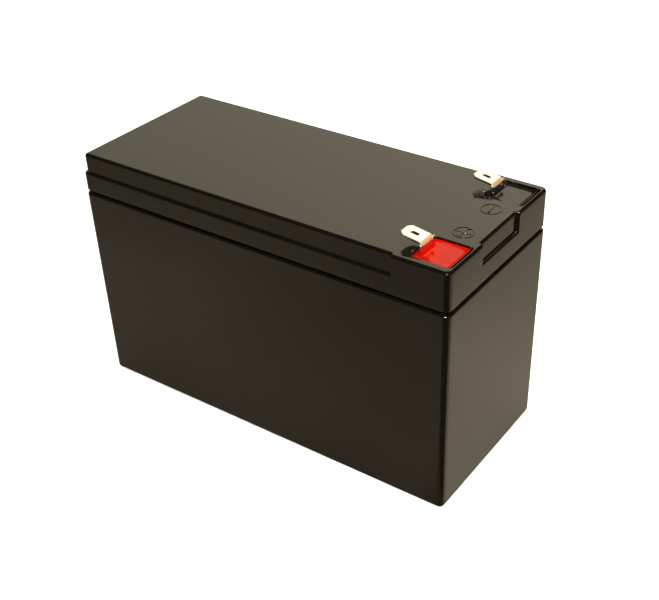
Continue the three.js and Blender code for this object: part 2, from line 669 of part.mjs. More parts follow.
function addBoard() {
  add('board_foam_tape', foamBlock(TAPE_X, TAPE_Y, [tapeZ, tapeZ + TAPE_THICKNESS]), FOAM);
  add('protection_board', makeBoard(), BOARD_GREEN);
  TRANSISTOR_X.forEach((x, index) => {
    add(`power_transistor_${index + 1}`, makePowerTransistor(x, TRANSISTOR_Y), CHIP_BLACK);
  });
  RESISTOR_Y.forEach((y, index) => {
    add(`sense_resistor_${index + 1}`, makeSenseResistor(RESISTOR_X, y), CHIP_BLACK);
  });
  add('controller_chip', makeController(CONTROLLER_X, CONTROLLER_Y), CHIP_BLACK);
  add('balance_socket', makeBalanceSocket(), NYLON_WHITE);
  add('balance_plug', makeBalancePlug(), NYLON_WHITE);
}

function addLeads() {
  add('positive_output_lead', makePositiveLead(), RED_SLEEVE);
  add('negative_output_lead', makeNegativeOutputLead(), BLACK_SLEEVE);
  add('cell_negative_lead', makeCellNegativeLead(), BLACK_SLEEVE);
  WIRE_COLOURS.forEach((color, index) => {
    add(`balance_wire_${index + 1}`, makeSenseWire(index), finish(color, 0.45));
  });
}

addShell();
addCells();
addStrips();
addSheetsAndFoam();
addBoard();
addLeads();

export default group;
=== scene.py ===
import math

import bmesh
import bpy
from mathutils import Matrix, Vector, noise


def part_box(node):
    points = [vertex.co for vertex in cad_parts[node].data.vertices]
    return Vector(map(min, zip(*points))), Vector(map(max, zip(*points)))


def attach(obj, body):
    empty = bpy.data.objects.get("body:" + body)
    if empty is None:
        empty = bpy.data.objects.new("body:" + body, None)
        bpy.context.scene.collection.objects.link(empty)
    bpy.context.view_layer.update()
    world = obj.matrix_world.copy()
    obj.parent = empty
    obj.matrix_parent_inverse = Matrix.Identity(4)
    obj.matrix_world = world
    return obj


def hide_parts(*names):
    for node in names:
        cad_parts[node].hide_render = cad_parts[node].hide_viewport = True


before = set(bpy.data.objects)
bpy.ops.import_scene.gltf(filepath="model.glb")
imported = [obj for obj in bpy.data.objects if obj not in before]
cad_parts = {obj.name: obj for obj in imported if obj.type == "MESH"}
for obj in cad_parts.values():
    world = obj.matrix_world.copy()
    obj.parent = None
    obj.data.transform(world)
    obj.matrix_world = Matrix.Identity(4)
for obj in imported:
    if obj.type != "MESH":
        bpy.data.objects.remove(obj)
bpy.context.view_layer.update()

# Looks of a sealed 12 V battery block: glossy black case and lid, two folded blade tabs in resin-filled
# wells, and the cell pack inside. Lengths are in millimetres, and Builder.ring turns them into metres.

MM = 0.001


def box(node):
    """A CAD node's lowest and highest corners, in millimetres."""
    return [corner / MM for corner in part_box(node)]


# ---------------------------------------- sizes, the first few taken from the frame

HALF_X, HALF_Y, CASE_TOP = box("case")[1]
MARK_HEIGHT = 0.3
LID_TOP = box("lid")[1].z - MARK_HEIGHT
TONGUE_BOTTOM = box("lid")[0].z

CORNER_RADIUS = 2.5
LEAST_RADIUS = 0.6         # of a corner far inside the outline
CORNER_STEPS = 12
CASE_WALL = 2.2
CASE_FLOOR = 2.5
CASE_DRAFT = 0.3           # the case is narrower at its base by this much on each side
BASE_ROUND = 1.8
RIM_ROUND = 0.85

BAND_INSET = 0.2           # lower band of the lid, against the case
BAND_BOTTOM = 79.2
BAND_ROUND = 0.4
LEDGE_Z = 86.2
STEP_INSET = 1.25          # upper band of the lid, against the case
NECK_INSET = 0.8
NECK_BOTTOM = CASE_TOP + 0.3
LID_ROUND = 1.25
LEDGE_ROUND = 0.85
FILLET = 0.18
BLOCK_START = 55
BLOCK_BLEND = 0.25
RECESS_HALF_WIDTH = 11.8
RECESS_INSET = 1.25
RECESS_BLEND = 0.25

TONGUE_INSET = 2.6
TONGUE_THICKNESS = 1.4
TONGUE_CHAMFER = 0.4
LID_WALL_INSET = 2.9
LID_UNDERSIDE = LID_TOP - 2.4

WELL_CENTRE = {-1: (66.75, -22.25), 1: (66.75, 22.25)}
WELL_HALF = (6.75, 7.05)
WELL_RADIUS = 1.5
WELL_MOUTH_ROUND = 0.22
WELL_WALL = 1.5
WELL_FLOOR = 85.2
SLOT_GAP = 0.3             # round the tab's leg where it passes the well's floor
RESIN_LEVEL = LID_TOP - 1.1
RESIN_GAP = 0.02
MENISCUS = 0.95            # how far the resin climbs the +X and -Y walls

POLES = {-1: "positive", 1: "negative"}
TAB_WIDTH = 6.35
TAB_THICKNESS = 0.8
TAB_EDGE = 0.1
TAB_TILT = math.radians(9)
TAB_TIP_X = 53.1
TAB_CHAMFER = 1.6
TAB_COINING = 0.7          # length of the thinned tip
TAB_BEND_RADIUS = 1.1
TAB_BEND_Z = 94.7
TAB_HOLE_X = 57.4
TAB_HOLE_HALF = (1.45, 0.7)
TAB_HOLE_CORNER = 0.45
LEG_X = 61.6
LEG_BOTTOM = 77.2
EAR_WIDTH = 0.95
EAR_BOTTOM = 93.5
EAR_TOP = 95.6
EAR_ROUND = 0.18

MARK_X = 66.6
MARK_Y = 8.8
MARK_RADIUS = 3.3
MARK_STROKE = 0.6
MARK_RISE = 0.16           # their worn height; the frame allows MARK_HEIGHT
MARK_ROUND = 0.13

CELL_RADIUS = 13
CELL_PITCH = 27.2
BUTTON_RADIUS = 4
BUTTON_HEIGHT = 0.9
CRIMP_BELOW_SHOULDER = 3.7
CRIMP_DEPTH = 0.65
LIP_WIDTH = 2.4            # how far the cells' sleeve folds over their ends
LIP_WAVE = 0.04
BORE_GAP = 0.25
HOLDER_CORNER = 4
HOLDER_ROUND = 0.5
NOTCH_HALF = 1.5
WELD_OFFSET = (2.6, 1.9)
WELD_RADIUS = 0.8
FOAM_CORNER = 1.5
FOAM_WAVE = 0.18

BOARD_CORNER = 2
BOARD_HOLE_INSET = 3
BOARD_HOLE_RADIUS = 1.2
PAD_HEIGHT = 0.06
LEAF = 0.12                # half the thickness of a part's foot
WIRE_PITCH = 2.5
LEAD_RADIUS = 1.3
WIRE_RADIUS = 0.65


# ---------------------------------------- mesh building

def arc(centre, radius, start, end, steps):
    """Points on an arc in a plane, angles in degrees, both ends included."""
    angles = [math.radians(start + (end - start) * i / steps) for i in range(steps + 1)]
    return [(centre[0] + radius * math.cos(a), centre[1] + radius * math.sin(a)) for a in angles]


def circle(centre, radius, sides):
    return arc(centre, radius, 0, 360 - 360 / sides, sides - 1)


def rounded_outline(
        half_x, half_y, radius, centre=(0, 0), xs=(), ys_right=(), ys_left=(), steps=CORNER_STEPS):
    """A rounded rectangle, anticlockwise from its lower right corner, with extra points at xs and ys."""
    cx, cy = centre
    dx, dy = half_x - radius, half_y - radius
    points = arc((cx + dx, cy - dy), radius, -90, 0, steps)
    points += [(cx + half_x, y) for y in sorted(ys_right)]
    points += arc((cx + dx, cy + dy), radius, 0, 90, steps)
    points += [(x, cy + half_y) for x in sorted(xs, reverse=True)]
    points += arc((cx - dx, cy + dy), radius, 90, 180, steps)
    points += [(cx - half_x, y) for y in sorted(ys_left, reverse=True)]
    points += arc((cx - dx, cy - dy), radius, 180, 270, steps)
    return points + [(x, cy - half_y) for x in sorted(xs)]


def rounded_side(edge, low, high, steps):
    """(inset, height) levels from low to high with both edges rounded."""
    return arc((edge, low + edge), edge, 270, 180, steps) + arc((edge, high - edge), edge, 180, 90, steps)


def smoothstep(low, high, value):
    t = min(1.0, max(0.0, (value - low) / (high - low)))
    return t * t * (3 - 2 * t)


def smooth(mesh):
    for polygon in mesh.polygons:
        polygon.use_smooth = True


class Builder:
    """Collects rings of vertices, bridges them into skins and closes flat plates, holes included."""

    def __init__(self):
        self.bm = bmesh.new()

    def ring(self, points, z=None):
        """Vertices at points in space, or at points in a plane at height z."""
        flat = () if z is None else (z,)
        return [self.bm.verts.new([MM * value for value in (*point, *flat)]) for point in points]

    def stack(self, half, levels, corner, least=0.0, centre=(0, 0), steps=CORNER_STEPS):
        """Rings of a rounded rectangle at (inset, height) levels; its corners shrink with it to least."""
        return [self.ring(rounded_outline(
            half[0] - inset, half[1] - inset, max(corner - inset, least), centre, steps=steps), z)
            for inset, z in levels]

    def bridge(self, first, second):
        for corners in zip(first, first[1:] + first[:1], second[1:] + second[:1], second):
            self.bm.faces.new(corners)

    def sweep(self, rings):
        """Bridges rings in turn, and gives back the last."""
        for first, second in zip(rings, rings[1:]):
            self.bridge(first, second)
        return rings[-1]

    def plate(self, outer, *holes):
        edges = []
        for loop in (outer, *holes):
            for pair in zip(loop, loop[1:] + loop[:1]):
                edges.append(self.bm.edges.get(pair) or self.bm.edges.new(pair))
        bmesh.ops.triangle_fill(self.bm, edges=edges, use_beauty=True, use_dissolve=False)

    def cap(self, ring):
        self.bm.faces.new(ring)

    def paint(self, index, before):
        """Gives the faces made since there were `before` of them another of the object's materials."""
        for face in list(self.bm.faces)[before:]:
            face.material_index = index

    def solid(self, rings, index=0):
        """Rings bridged in turn and closed at both ends, in one of the object's materials."""
        before = len(self.bm.faces)
        self.cap(rings[0])
        self.cap(self.sweep(rings))
        self.paint(index, before)

    def slab(self, x, y, z, corner, edge, index=0):
        """A block between two x, two y and two z, with rounded corners and rounded-over edges."""
        half = [(span[1] - span[0]) / 2 for span in (x, y)]
        centre = (x[0] + half[0], y[0] + half[1])
        self.solid(self.stack(half, rounded_side(edge, *z, 3), corner, 0.01, centre, 4), index)

    def to_object(self, name, weighted=True):
        """The finished skin as a smooth object; weighted keeps its large flats looking flat."""
        bmesh.ops.recalc_face_normals(self.bm, faces=self.bm.faces[:])
        mesh = bpy.data.meshes.new(name)
        self.bm.to_mesh(mesh)
        self.bm.free()
        smooth(mesh)
        obj = bpy.data.objects.new(name, mesh)
        bpy.context.scene.collection.objects.link(obj)
        if weighted:
            modifier = obj.modifiers.new("flats", "WEIGHTED_NORMAL")
            modifier.mode = "FACE_AREA"
            modifier.weight = 100
            modifier.keep_sharp = False
        return obj

    def tool(self):
        return self.to_object("tool", weighted=False)


def stand_in(obj, node, slot, *materials):
    """obj is the finished form of a CAD node."""
    obj.data.materials.clear()     # this also sets every face that paint() changed back to the first material
    for material in materials:
        obj.data.materials.append(material)
    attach(obj, "root")
    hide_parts(node)


def combine(obj, tool, operation="DIFFERENCE"):
    """Cuts obj with tool or joins them, and removes the tool."""
    modifier = obj.modifiers.new("boolean", "BOOLEAN")
    modifier.operation = operation
    modifier.solver = "EXACT"
    modifier.object = tool
    weighted = [m for m in obj.modifiers if m.type == "WEIGHTED_NORMAL"]
    for m in weighted:
        m.show_viewport = False
    bpy.context.view_layer.update()
    old, name = obj.data, obj.data.name
    obj.data = bpy.data.meshes.new_from_object(obj.evaluated_get(bpy.context.evaluated_depsgraph_get()))
    obj.modifiers.remove(modifier)
    bpy.data.meshes.remove(old)
    obj.data.name = name
    for m in weighted:
        m.show_viewport = True
    bpy.data.objects.remove(tool)
    smooth(obj.data)


def cut_slab(obj, *sizes):
    build = Builder()
    build.slab(*sizes)
    combine(obj, build.tool())


# ---------------------------------------- material building

class Nodes:
    """A short way to write a procedural material. Its values are numbers, colours or other sockets."""

    def __init__(self, name):
        self.material = bpy.data.materials.new(name)
        self.material.use_nodes = True
        self.tree = self.material.node_tree
        self.shader = self.tree.nodes["Principled BSDF"]
        self.place = self.node("TexCoord").outputs["Object"]

    def feed(self, socket, value):
        if isinstance(value, bpy.types.NodeSocket):
            self.tree.links.new(value, socket)
        else:
            socket.default_value = value

    def node(self, kind, inputs=(), **settings):
        made = self.tree.nodes.new("ShaderNode" + kind)
        for key, value in settings.items():
            setattr(made, key, value)
        for key, value in dict(inputs).items():
            self.feed(made.inputs[key], value)
        return made

    def finish(self, **values):
        """Feeds the shader's sockets, named with _ for each space, and gives back the material."""
        for key, value in values.items():
            self.feed(self.shader.inputs[key.replace("_", " ")], value)
        return self.material

    def axes(self, vector):
        return self.node("SeparateXYZ", {"Vector": vector}).outputs

    def noise(self, scale, detail=4, stretch=None, distortion=0.0):
        place = self.place
        if stretch:
            place = self.node("Mapping", {"Vector": place, "Scale": stretch}).outputs["Vector"]
        inputs = {"Vector": place, "Scale": scale, "Detail": detail, "Distortion": distortion}
        return self.node("TexNoise", inputs).outputs["Fac"]

    def spots(self, scale, size):
        """1 inside small scattered dots, 0 elsewhere."""
        distance = self.node("TexVoronoi", {"Vector": self.place, "Scale": scale}).outputs["Distance"]
        return self.remap(distance, 1, 0, size * 0.6, size)

    def remap(self, source, to_low, to_high, from_low=0.3, from_high=0.7):
        """A range of source, unless given the one that a noise mostly fills, moved to another range."""
        ends = {"From Min": from_low, "From Max": from_high, "To Min": to_low, "To Max": to_high}
        return self.node("MapRange", {"Value": source, **ends}).outputs["Result"]

    def math(self, operation, first, second):
        return self.node("Math", {0: first, 1: second}, operation=operation).outputs[0]

    def times(self, first, second):
        return self.math("MULTIPLY", first, second)

    def plus(self, first, second):
        return self.math("ADD", first, second)

    def mix(self, factor, *colors):
        first, second = [(*color, 1) if isinstance(color, tuple) else color for color in colors]
        return self.node("Mix", {"Factor": factor, 6: first, 7: second}, data_type="RGBA").outputs[2]

    def bump(self, height, strength, distance, under=None):
        """distance is in millimetres; under is the normal of a coarser bump that this one lies on."""
        inputs = {"Height": height, "Strength": strength, "Distance": distance * MM}
        if under:
            inputs["Normal"] = under
        return self.node("Bump", inputs).outputs["Normal"]


def black_plastic():
    """Glossy moulded plastic: soft cloudiness in its gloss, dust specks and faint rubbed streaks."""
    m = Nodes("black_plastic")
    cloud = m.noise(26, detail=3)
    dust = m.times(m.spots(330, 0.045), m.remap(m.noise(70), 0, 1, 0.5, 0.6))
    rubbed = m.remap(m.noise(90, detail=3, stretch=(0.5, 5, 2), distortion=0.3), 0, 1, 0.6, 0.75)
    base = m.mix(m.remap(cloud, 0, 1), (0.0014, 0.0012, 0.0009), (0.0024, 0.002, 0.0015))
    gloss = m.plus(m.remap(cloud, 0.085, 0.12, 0.35, 0.75), m.times(rubbed, 0.035))
    fine = m.bump(m.noise(1100, detail=2), 0.06, 0.02, m.bump(m.noise(36, detail=1), 0.14, 0.1))
    return m.finish(
        Base_Color=m.mix(m.times(dust, 0.6), base, (0.17, 0.16, 0.13)),
        Roughness=m.plus(gloss, m.times(dust, 0.3)),
        Normal=m.bump(dust, 0.35, 0.04, fine),
        IOR=1.5, Specular_Tint=(1.0, 0.93, 0.8, 1))


def tinned_tab():
    """Tin plate over brass: bright and faintly drawn along its length; faces turned towards +X and upwards,
    on the bend's outer side, get a brass tone that is a painted warm reflection.
    """
    m = Nodes("tinned_brass")
    drawn = m.noise(500, detail=3, stretch=(0.15, 6, 1))
    bloom = m.noise(260)
    tin = m.mix(m.remap(bloom, 0, 1, 0.35, 0.65), (0.80, 0.76, 0.70), (0.88, 0.85, 0.80))
    # Painted reflection: faces turned towards +X and upwards take a brass tone and less metal, in place of
    # the warm reflection there.
    facing = m.axes(m.node("NewGeometry").outputs["Normal"])
    outward = m.times(m.remap(facing["X"], 0, 1, 0.25, 0.6), m.remap(facing["Z"], 0, 1, 0.03, 0.3))
    brass_tone_painted_reflection = m.times(outward, m.remap(drawn, 0.65, 0.95, 0.2, 0.6))
    return m.finish(
        Base_Color=m.mix(brass_tone_painted_reflection, tin, (0.56, 0.29, 0.07)),
        Metallic=m.remap(brass_tone_painted_reflection, 1, 0.45, 0, 1),
        Roughness=m.plus(m.remap(drawn, 0.14, 0.24), m.remap(bloom, 0, 0.06)),
        Normal=m.bump(drawn, 0.12, 0.03))


def poured_resin(name, deep, pale, roughness, tint, ior):
    """Epoxy poured into a well: wet gloss, slow waves and a few trapped bubbles."""
    m = Nodes(name)
    cloud = m.noise(120, detail=3)
    bubbles = m.spots(700, 0.07)
    body = m.mix(m.remap(cloud, 0, 1), deep, pale)
    waves = m.bump(m.noise(160, detail=1), 0.25, 0.12)
    return m.finish(
        Base_Color=m.mix(m.times(bubbles, 0.35), body, tuple(0.5 * c for c in deep)),
        Roughness=m.remap(cloud, roughness, roughness + 0.05),
        Normal=m.bump(bubbles, 0.1, 0.03, waves),
        IOR=ior, Specular_Tint=(*tint, 1))


# ---------------------------------------- case and lid

def make_case(material):
    """An open box with drafted walls, a rounded base and a rounded rim."""
    lip, cove = 0.3, 1
    profile = [(CASE_DRAFT + BASE_ROUND + 1.5, 0)]
    profile += arc((CASE_DRAFT + BASE_ROUND, BASE_ROUND), BASE_ROUND, 270, 180, 8)
    profile += [(0, CASE_TOP - RIM_ROUND - 1)]
    profile += arc((RIM_ROUND, CASE_TOP - RIM_ROUND), RIM_ROUND, 180, 90, 6)
    profile += arc((CASE_WALL - lip, CASE_TOP - lip), lip, 90, 0, 3)
    profile += [(CASE_WALL, CASE_FLOOR + 2 * cove)]
    profile += arc((CASE_WALL + cove, CASE_FLOOR + cove), cove, 180, 270, 5)
    profile += [(CASE_WALL + 2 * cove, CASE_FLOOR)]
    build = Builder()
    build.solid(build.stack((HALF_X, HALF_Y), profile, CORNER_RADIUS, LEAST_RADIUS))
    stand_in(build.to_object("battery_case"), "case", "black_plastic", material)


# The lid's outline, with points close together at the block's step and the recess's sides.
CLOSE = [step / 5 for step in range(-7, 8)]
LONG_SIDE_XS = [*range(-66, 52, 6), *(BLOCK_START + BLOCK_BLEND * s for s in CLOSE), 60, 66]
END_YS = [-24, -18, -6, 0, 6, 18, 24]
END_YS += [side * RECESS_HALF_WIDTH + RECESS_BLEND * s for side in (-1, 1) for s in CLOSE]
RIM = rounded_outline(HALF_X, HALF_Y, CORNER_RADIUS, xs=LONG_SIDE_XS, ys_right=END_YS, ys_left=[-12, 0, 12])


def upper_profile(wall_inset, ledge=True):
    """(inset, height) up the lid's side above the middle of its band, with or without its ledge."""
    low = LEDGE_Z - LEDGE_ROUND
    if ledge:
        side = arc((BAND_INSET + LEDGE_ROUND, low), LEDGE_ROUND, 180, 90, 5)
        side += arc((wall_inset - FILLET, LEDGE_Z + FILLET), FILLET, 270, 360, 3)
    else:
        side = [(wall_inset, low + (LEDGE_ROUND + FILLET) * i / 9) for i in range(10)]
    side += [(wall_inset, LID_TOP - LID_ROUND - 0.6)]
    side += arc((wall_inset + LID_ROUND, LID_TOP - LID_ROUND), LID_ROUND, 180, 90, 8)
    return side + [(wall_inset + LID_ROUND + 0.5, LID_TOP)]


def inset_point(x, y, inset):
    """Moves a point of RIM inwards; on a corner it goes to the same angle of the smaller corner."""
    radius = max(CORNER_RADIUS - inset, LEAST_RADIUS)
    beyond = [abs(value) - (half - CORNER_RADIUS) for value, half in ((x, HALF_X), (y, HALF_Y))]
    moved = []
    for value, half, past in zip((x, y), (HALF_X, HALF_Y), beyond):
        if min(beyond) >= -1e-6:
            value = math.copysign(half - inset - radius + radius * past / CORNER_RADIUS, value)
        elif past >= -1e-6:
            value = math.copysign(half - inset, value)
        moved.append(value)
    return moved


def plain_ring(build, inset, z):
    return build.ring([inset_point(x, y, inset) for x, y in RIM], z)


def lid_ring(build, step, block, recess):
    """One ring of the lid's upper side, whose (inset, height) depends on where it is along the rim."""
    points = []
    for x, y in RIM:
        in_block = smoothstep(BLOCK_START - BLOCK_BLEND, BLOCK_START + BLOCK_BLEND, x)
        in_recess = smoothstep(-RECESS_BLEND, RECESS_BLEND, RECESS_HALF_WIDTH - abs(y)) * (x > HALF_X - 0.01)
        level = [s + (b - s) * in_block for s, b in zip(step, block)]
        inset, z = (value + (r - value) * in_recess for value, r in zip(level, recess))
        points.append((*inset_point(x, y, inset), z))
    return build.ring(points)


def lid_well(build, side):
    """A well with a rounded mouth, its floor with the leg's slot, and the pocket round it under the lid."""
    centre = WELL_CENTRE[side]
    foot, soft, chamfer = WELL_FLOOR - WELL_WALL, 0.5, 0.4
    levels = [(-WELL_MOUTH_ROUND - soft, LID_TOP)]
    levels += arc((-WELL_MOUTH_ROUND, LID_TOP - WELL_MOUTH_ROUND), WELL_MOUTH_ROUND, 90, 0, 4)
    levels += [(0, LID_TOP - 1.2), *arc((soft, WELL_FLOOR + soft), soft, 180, 270, 3)]
    well = build.stack(WELL_HALF, levels, WELL_RADIUS, 0, centre, 8)
    build.sweep(well)
    slot_half = (TAB_THICKNESS / 2 + SLOT_GAP, TAB_WIDTH / 2 + SLOT_GAP)
    slot = build.stack(slot_half, [(0, WELL_FLOOR), (0, foot)], SLOT_GAP, 0, (LEG_X, centre[1]), 3)
    build.plate(well[-1], slot[0])
    build.bridge(*slot)
    levels = [(chamfer - WELL_WALL, foot), (-WELL_WALL, foot + chamfer)]
    levels += [(-WELL_WALL, LID_UNDERSIDE - 0.3), (-WELL_WALL - 0.3, LID_UNDERSIDE)]
    pocket = build.stack(WELL_HALF, levels, WELL_RADIUS, 0, centre, 8)
    build.plate(pocket[0], slot[1])
    build.sweep(pocket)
    return well[0], pocket[-1]


def polarity_mark(y, bars):
    """A ring with one bar across it or two, its upper edges rounded."""
    half, soft = MARK_STROKE / 2, MARK_ROUND
    low, high = LID_TOP - 0.5, LID_TOP + MARK_RISE
    section = [(-half, low), *arc((soft - half, high - soft), soft, 180, 90, 3)]
    section += [(-x, z) for x, z in reversed(section)]
    build = Builder()
    rings = [build.ring(circle((MARK_X, y), MARK_RADIUS + offset, 48), z) for offset, z in section]
    build.sweep(rings + rings[:1])
    mark = build.tool()
    length = MARK_RADIUS - half / 2
    levels = [(0, low), (0, high - soft), (0.06, high - 0.04), (soft, high)]
    for direction in bars:
        size = (length, half) if direction == "x" else (half, length)
        bar = Builder()
        bar.solid(bar.stack(size, levels, soft, soft, (MARK_X, y), 3))
        combine(mark, bar.tool(), "UNION")
    return mark


def make_lid(material):
    """One closed skin: the neck, band, ledge and top outside, the tongue, wells and pockets inside."""
    build = Builder()
    levels = [(NECK_INSET, NECK_BOTTOM), (NECK_INSET, BAND_BOTTOM)]
    levels += arc((BAND_INSET + BAND_ROUND, BAND_BOTTOM + BAND_ROUND), BAND_ROUND, 270, 180, 5)
    outside = [plain_ring(build, *level) for level in levels]
    profiles = upper_profile(STEP_INSET), upper_profile(BAND_INSET, ledge=False), upper_profile(RECESS_INSET)
    outside += [lid_ring(build, *level) for level in zip(*profiles)]
    build.sweep(outside)
    wells = [lid_well(build, side) for side in (-1, 1)]
    build.plate(outside[-1], *[mouth for mouth, _ in wells])
    tongue_inner = TONGUE_INSET + TONGUE_THICKNESS
    inside = [plain_ring(build, *level) for level in (
        (TONGUE_INSET, NECK_BOTTOM),
        (TONGUE_INSET, TONGUE_BOTTOM + TONGUE_CHAMFER),
        (TONGUE_INSET + TONGUE_CHAMFER, TONGUE_BOTTOM),
        (tongue_inner, TONGUE_BOTTOM),
        (tongue_inner, BAND_BOTTOM),
        (LID_WALL_INSET, BAND_BOTTOM + 2),
        (LID_WALL_INSET, LID_UNDERSIDE - 0.5),
        (LID_WALL_INSET + 0.15, LID_UNDERSIDE),
    )]
    build.bridge(outside[0], inside[0])
    build.plate(build.sweep(inside), *[pocket for _, pocket in wells])
    lid = build.to_object("battery_lid")
    combine(lid, polarity_mark(-MARK_Y, "xy"), "UNION")
    combine(lid, polarity_mark(MARK_Y, "y"), "UNION")
    stand_in(lid, "lid", "black_plastic", material)


# ---------------------------------------- terminals and their resin

def make_terminal(side, material, raw_edge):
    """A stamped tab: chamfered, coined tip; rising blade with its latch hole; bend between two ears; leg."""
    y = WELL_CENTRE[side][1]
    build = Builder()
    rings = []

    def station(x, z, angle, width=TAB_WIDTH, thickness=TAB_THICKNESS):
        """Adds a section of the strip, whose outer face looks at this angle from the X axis."""
        section = rounded_outline(width / 2, thickness / 2, min(TAB_EDGE, thickness / 2 - 0.01), steps=3)
        dx, dz = math.cos(angle), math.sin(angle)
        rings.append(build.ring([(x + n * dx, y + a, z + n * dz) for a, n in section]))

    upright = math.pi / 2 - TAB_TILT
    bend_x = LEG_X - TAB_BEND_RADIUS
    steps = 12
    bend = arc((bend_x, TAB_BEND_Z), TAB_BEND_RADIUS, math.degrees(upright), 0, steps)
    length = (bend_x - TAB_TIP_X) / math.cos(TAB_TILT)
    for d in (0, 0.12, 0.35, TAB_COINING, 1.2, TAB_CHAMFER, TAB_CHAMFER + 0.2, 2.6, length - 0.3):
        x = bend[0][0] - math.cos(TAB_TILT) * (length - d)
        z = bend[0][1] + math.sin(TAB_TILT) * (length - d)
        thickness = TAB_THICKNESS * (0.45 + 0.55 * smoothstep(-0.1, TAB_COINING, d))
        station(x, z, upright, TAB_WIDTH - 2 * max(0.0, TAB_CHAMFER - d), thickness)
    for i, (x, z) in enumerate(bend):
        station(x, z, upright * (1 - i / steps))
    for z in (TAB_BEND_Z - 0.6, 92.5, 88, LEG_BOTTOM + 0.4):
        station(LEG_X, z, 0)
    station(LEG_X, LEG_BOTTOM, 0, TAB_WIDTH - 0.3)
    build.solid(rings)
    tab = build.to_object(f"{POLES[side]}_tab")
    for end in (-1, 1):
        combine(tab, tab_ear(y, end), "UNION")
    combine(tab, tab_hole(y))
    for polygon in tab.data.polygons:
        away = (abs(polygon.center.x / MM - TAB_HOLE_X), abs(polygon.center.y / MM - y))
        polygon.material_index = int(all(a < size + 0.03 for a, size in zip(away, TAB_HOLE_HALF)))
    stand_in(tab, f"{POLES[side]}_terminal", "tinned_brass", material, raw_edge)


def tab_ear(y, end):
    """A small upright shoulder beside the bend, where the push-on connector stops."""
    inner, outer = TAB_WIDTH / 2 - 0.25, TAB_WIDTH / 2 + EAR_WIDTH
    half_x, half_y = TAB_THICKNESS / 2 - 0.01, (outer - inner) / 2
    centre = (LEG_X, y + end * (inner + outer) / 2)
    levels = [(0.25, EAR_BOTTOM), (0, EAR_BOTTOM + 0.4), (0, EAR_TOP - EAR_ROUND)]
    levels += [(0.06, EAR_TOP - 0.05), (EAR_ROUND, EAR_TOP)]
    build = Builder()
    build.solid([build.ring(rounded_outline(half_x - inset / 2, half_y - inset, 0.1, centre, steps=3), z)
                 for inset, z in levels])
    return build.tool()


def tab_hole(y):
    """The latch hole's punch, a little wider at both faces so that the hole's edges are soft."""
    slope = math.tan(TAB_TILT)
    from_bend = LEG_X - TAB_BEND_RADIUS - TAB_HOLE_X
    middle = TAB_BEND_Z + TAB_BEND_RADIUS / math.cos(TAB_TILT) + from_bend * slope
    levels = [(0.2, -TAB_THICKNESS), (0.05, -TAB_THICKNESS / 2), (0, 0.06 - TAB_THICKNESS / 2)]
    levels += [(grow, -level) for grow, level in reversed(levels)]
    build = Builder()
    rings = []
    for grow, level in levels:
        half_x, half_y = (size + grow for size in TAB_HOLE_HALF)
        outline = rounded_outline(half_x, half_y, TAB_HOLE_CORNER + grow, (TAB_HOLE_X, y), steps=6)
        rings.append(build.ring([(px, py, middle + level + (TAB_HOLE_X - px) * slope) for px, py in outline]))
    build.solid(rings)
    return build.tool()


def make_resin(side, slot, material):
    """Resin in its well: almost flat, climbing a little at the walls and more at the tab's leg."""
    cx, cy = WELL_CENTRE[side]
    half_x, half_y = (half - RESIN_GAP for half in WELL_HALF)
    count = 56
    places = [math.sin(math.pi / 2 * (2 * i / count - 1)) for i in range(count + 1)]   # closer at the walls

    def surface(x, y):
        dx, dy = abs(x) - half_x + WELL_RADIUS, abs(y) - half_y + WELL_RADIUS
        if dx > 0 and dy > 0:              # drawn in from a square corner to the round one
            scale = 1 - max(dx, dy) / math.hypot(dx, dy)
            x -= math.copysign(dx * scale, x)
            y -= math.copysign(dy * scale, y)
        wall = min(half_x - abs(x), half_y - abs(y))
        leg = math.hypot(max(abs(cx + x - LEG_X) - TAB_THICKNESS / 2, 0), max(abs(y) - TAB_WIDTH / 2, 0))
        rise = 0.3 * math.exp(-wall / 0.45) + 0.75 * math.exp(-leg / 0.55)
        climbed = max(min(half_x - x, half_y + y) - 0.35, 0)
        rise = max(rise, MENISCUS * math.exp(-climbed / 0.6))
        waves = noise.noise(Vector((x * MM, y * MM, side)) * 210) * 0.07
        return cx + x, cy + y, RESIN_LEVEL + rise + waves

    build = Builder()
    rows = [build.ring([surface(half_x * x, half_y * y) for x in places]) for y in places]
    for first, second in zip(rows, rows[1:]):
        for corners in zip(first, first[1:], second[1:], second):
            build.bm.faces.new(corners)
    edge = rows[0][:-1] + [row[-1] for row in rows[:-1]] + rows[-1][:0:-1] + [row[0] for row in rows[:0:-1]]
    foot = build.ring([vert.co.xy / MM for vert in edge], WELL_FLOOR + 0.1)
    build.bridge(edge, foot)
    build.cap(foot)
    stand_in(build.to_object(f"{POLES[side]}_resin"), f"{POLES[side]}_terminal_seal", slot, material)


# ---------------------------------------- materials of the pieces inside

def moulded(name, dark, light, rough, scale=300, relief=0.2, speck=0.0):
    """A plain plastic, paper or rubber: two close tones, an uneven gloss and a fine surface grain."""
    m = Nodes(name)
    tone = m.mix(m.remap(m.noise(scale), 0, 1), dark, light)
    if speck:
        tone = m.mix(m.times(m.spots(scale * 4, 0.12), speck), tone, tuple(0.4 * c for c in dark))
    return m.finish(
        Base_Color=tone,
        Roughness=m.remap(m.noise(scale * 0.3, detail=2), rough - 0.06, rough + 0.06),
        Normal=m.bump(m.noise(scale * 6, detail=2), relief, 0.04))


def metal(name, dark, light, rough):
    """A bare metal with a fine grain and faint staining."""
    m = Nodes(name)
    grain = m.noise(700, detail=3, stretch=(1, 1, 1))
    stain = m.noise(90, detail=3)
    return m.finish(
        Base_Color=m.mix(m.remap(stain, 0, 1), dark, light),
        Roughness=m.plus(m.remap(grain, rough - 0.05, rough + 0.05), m.remap(stain, 0, 0.08, 0.4)),
        Normal=m.bump(grain, 0.15, 0.02),
        Metallic=1.0)


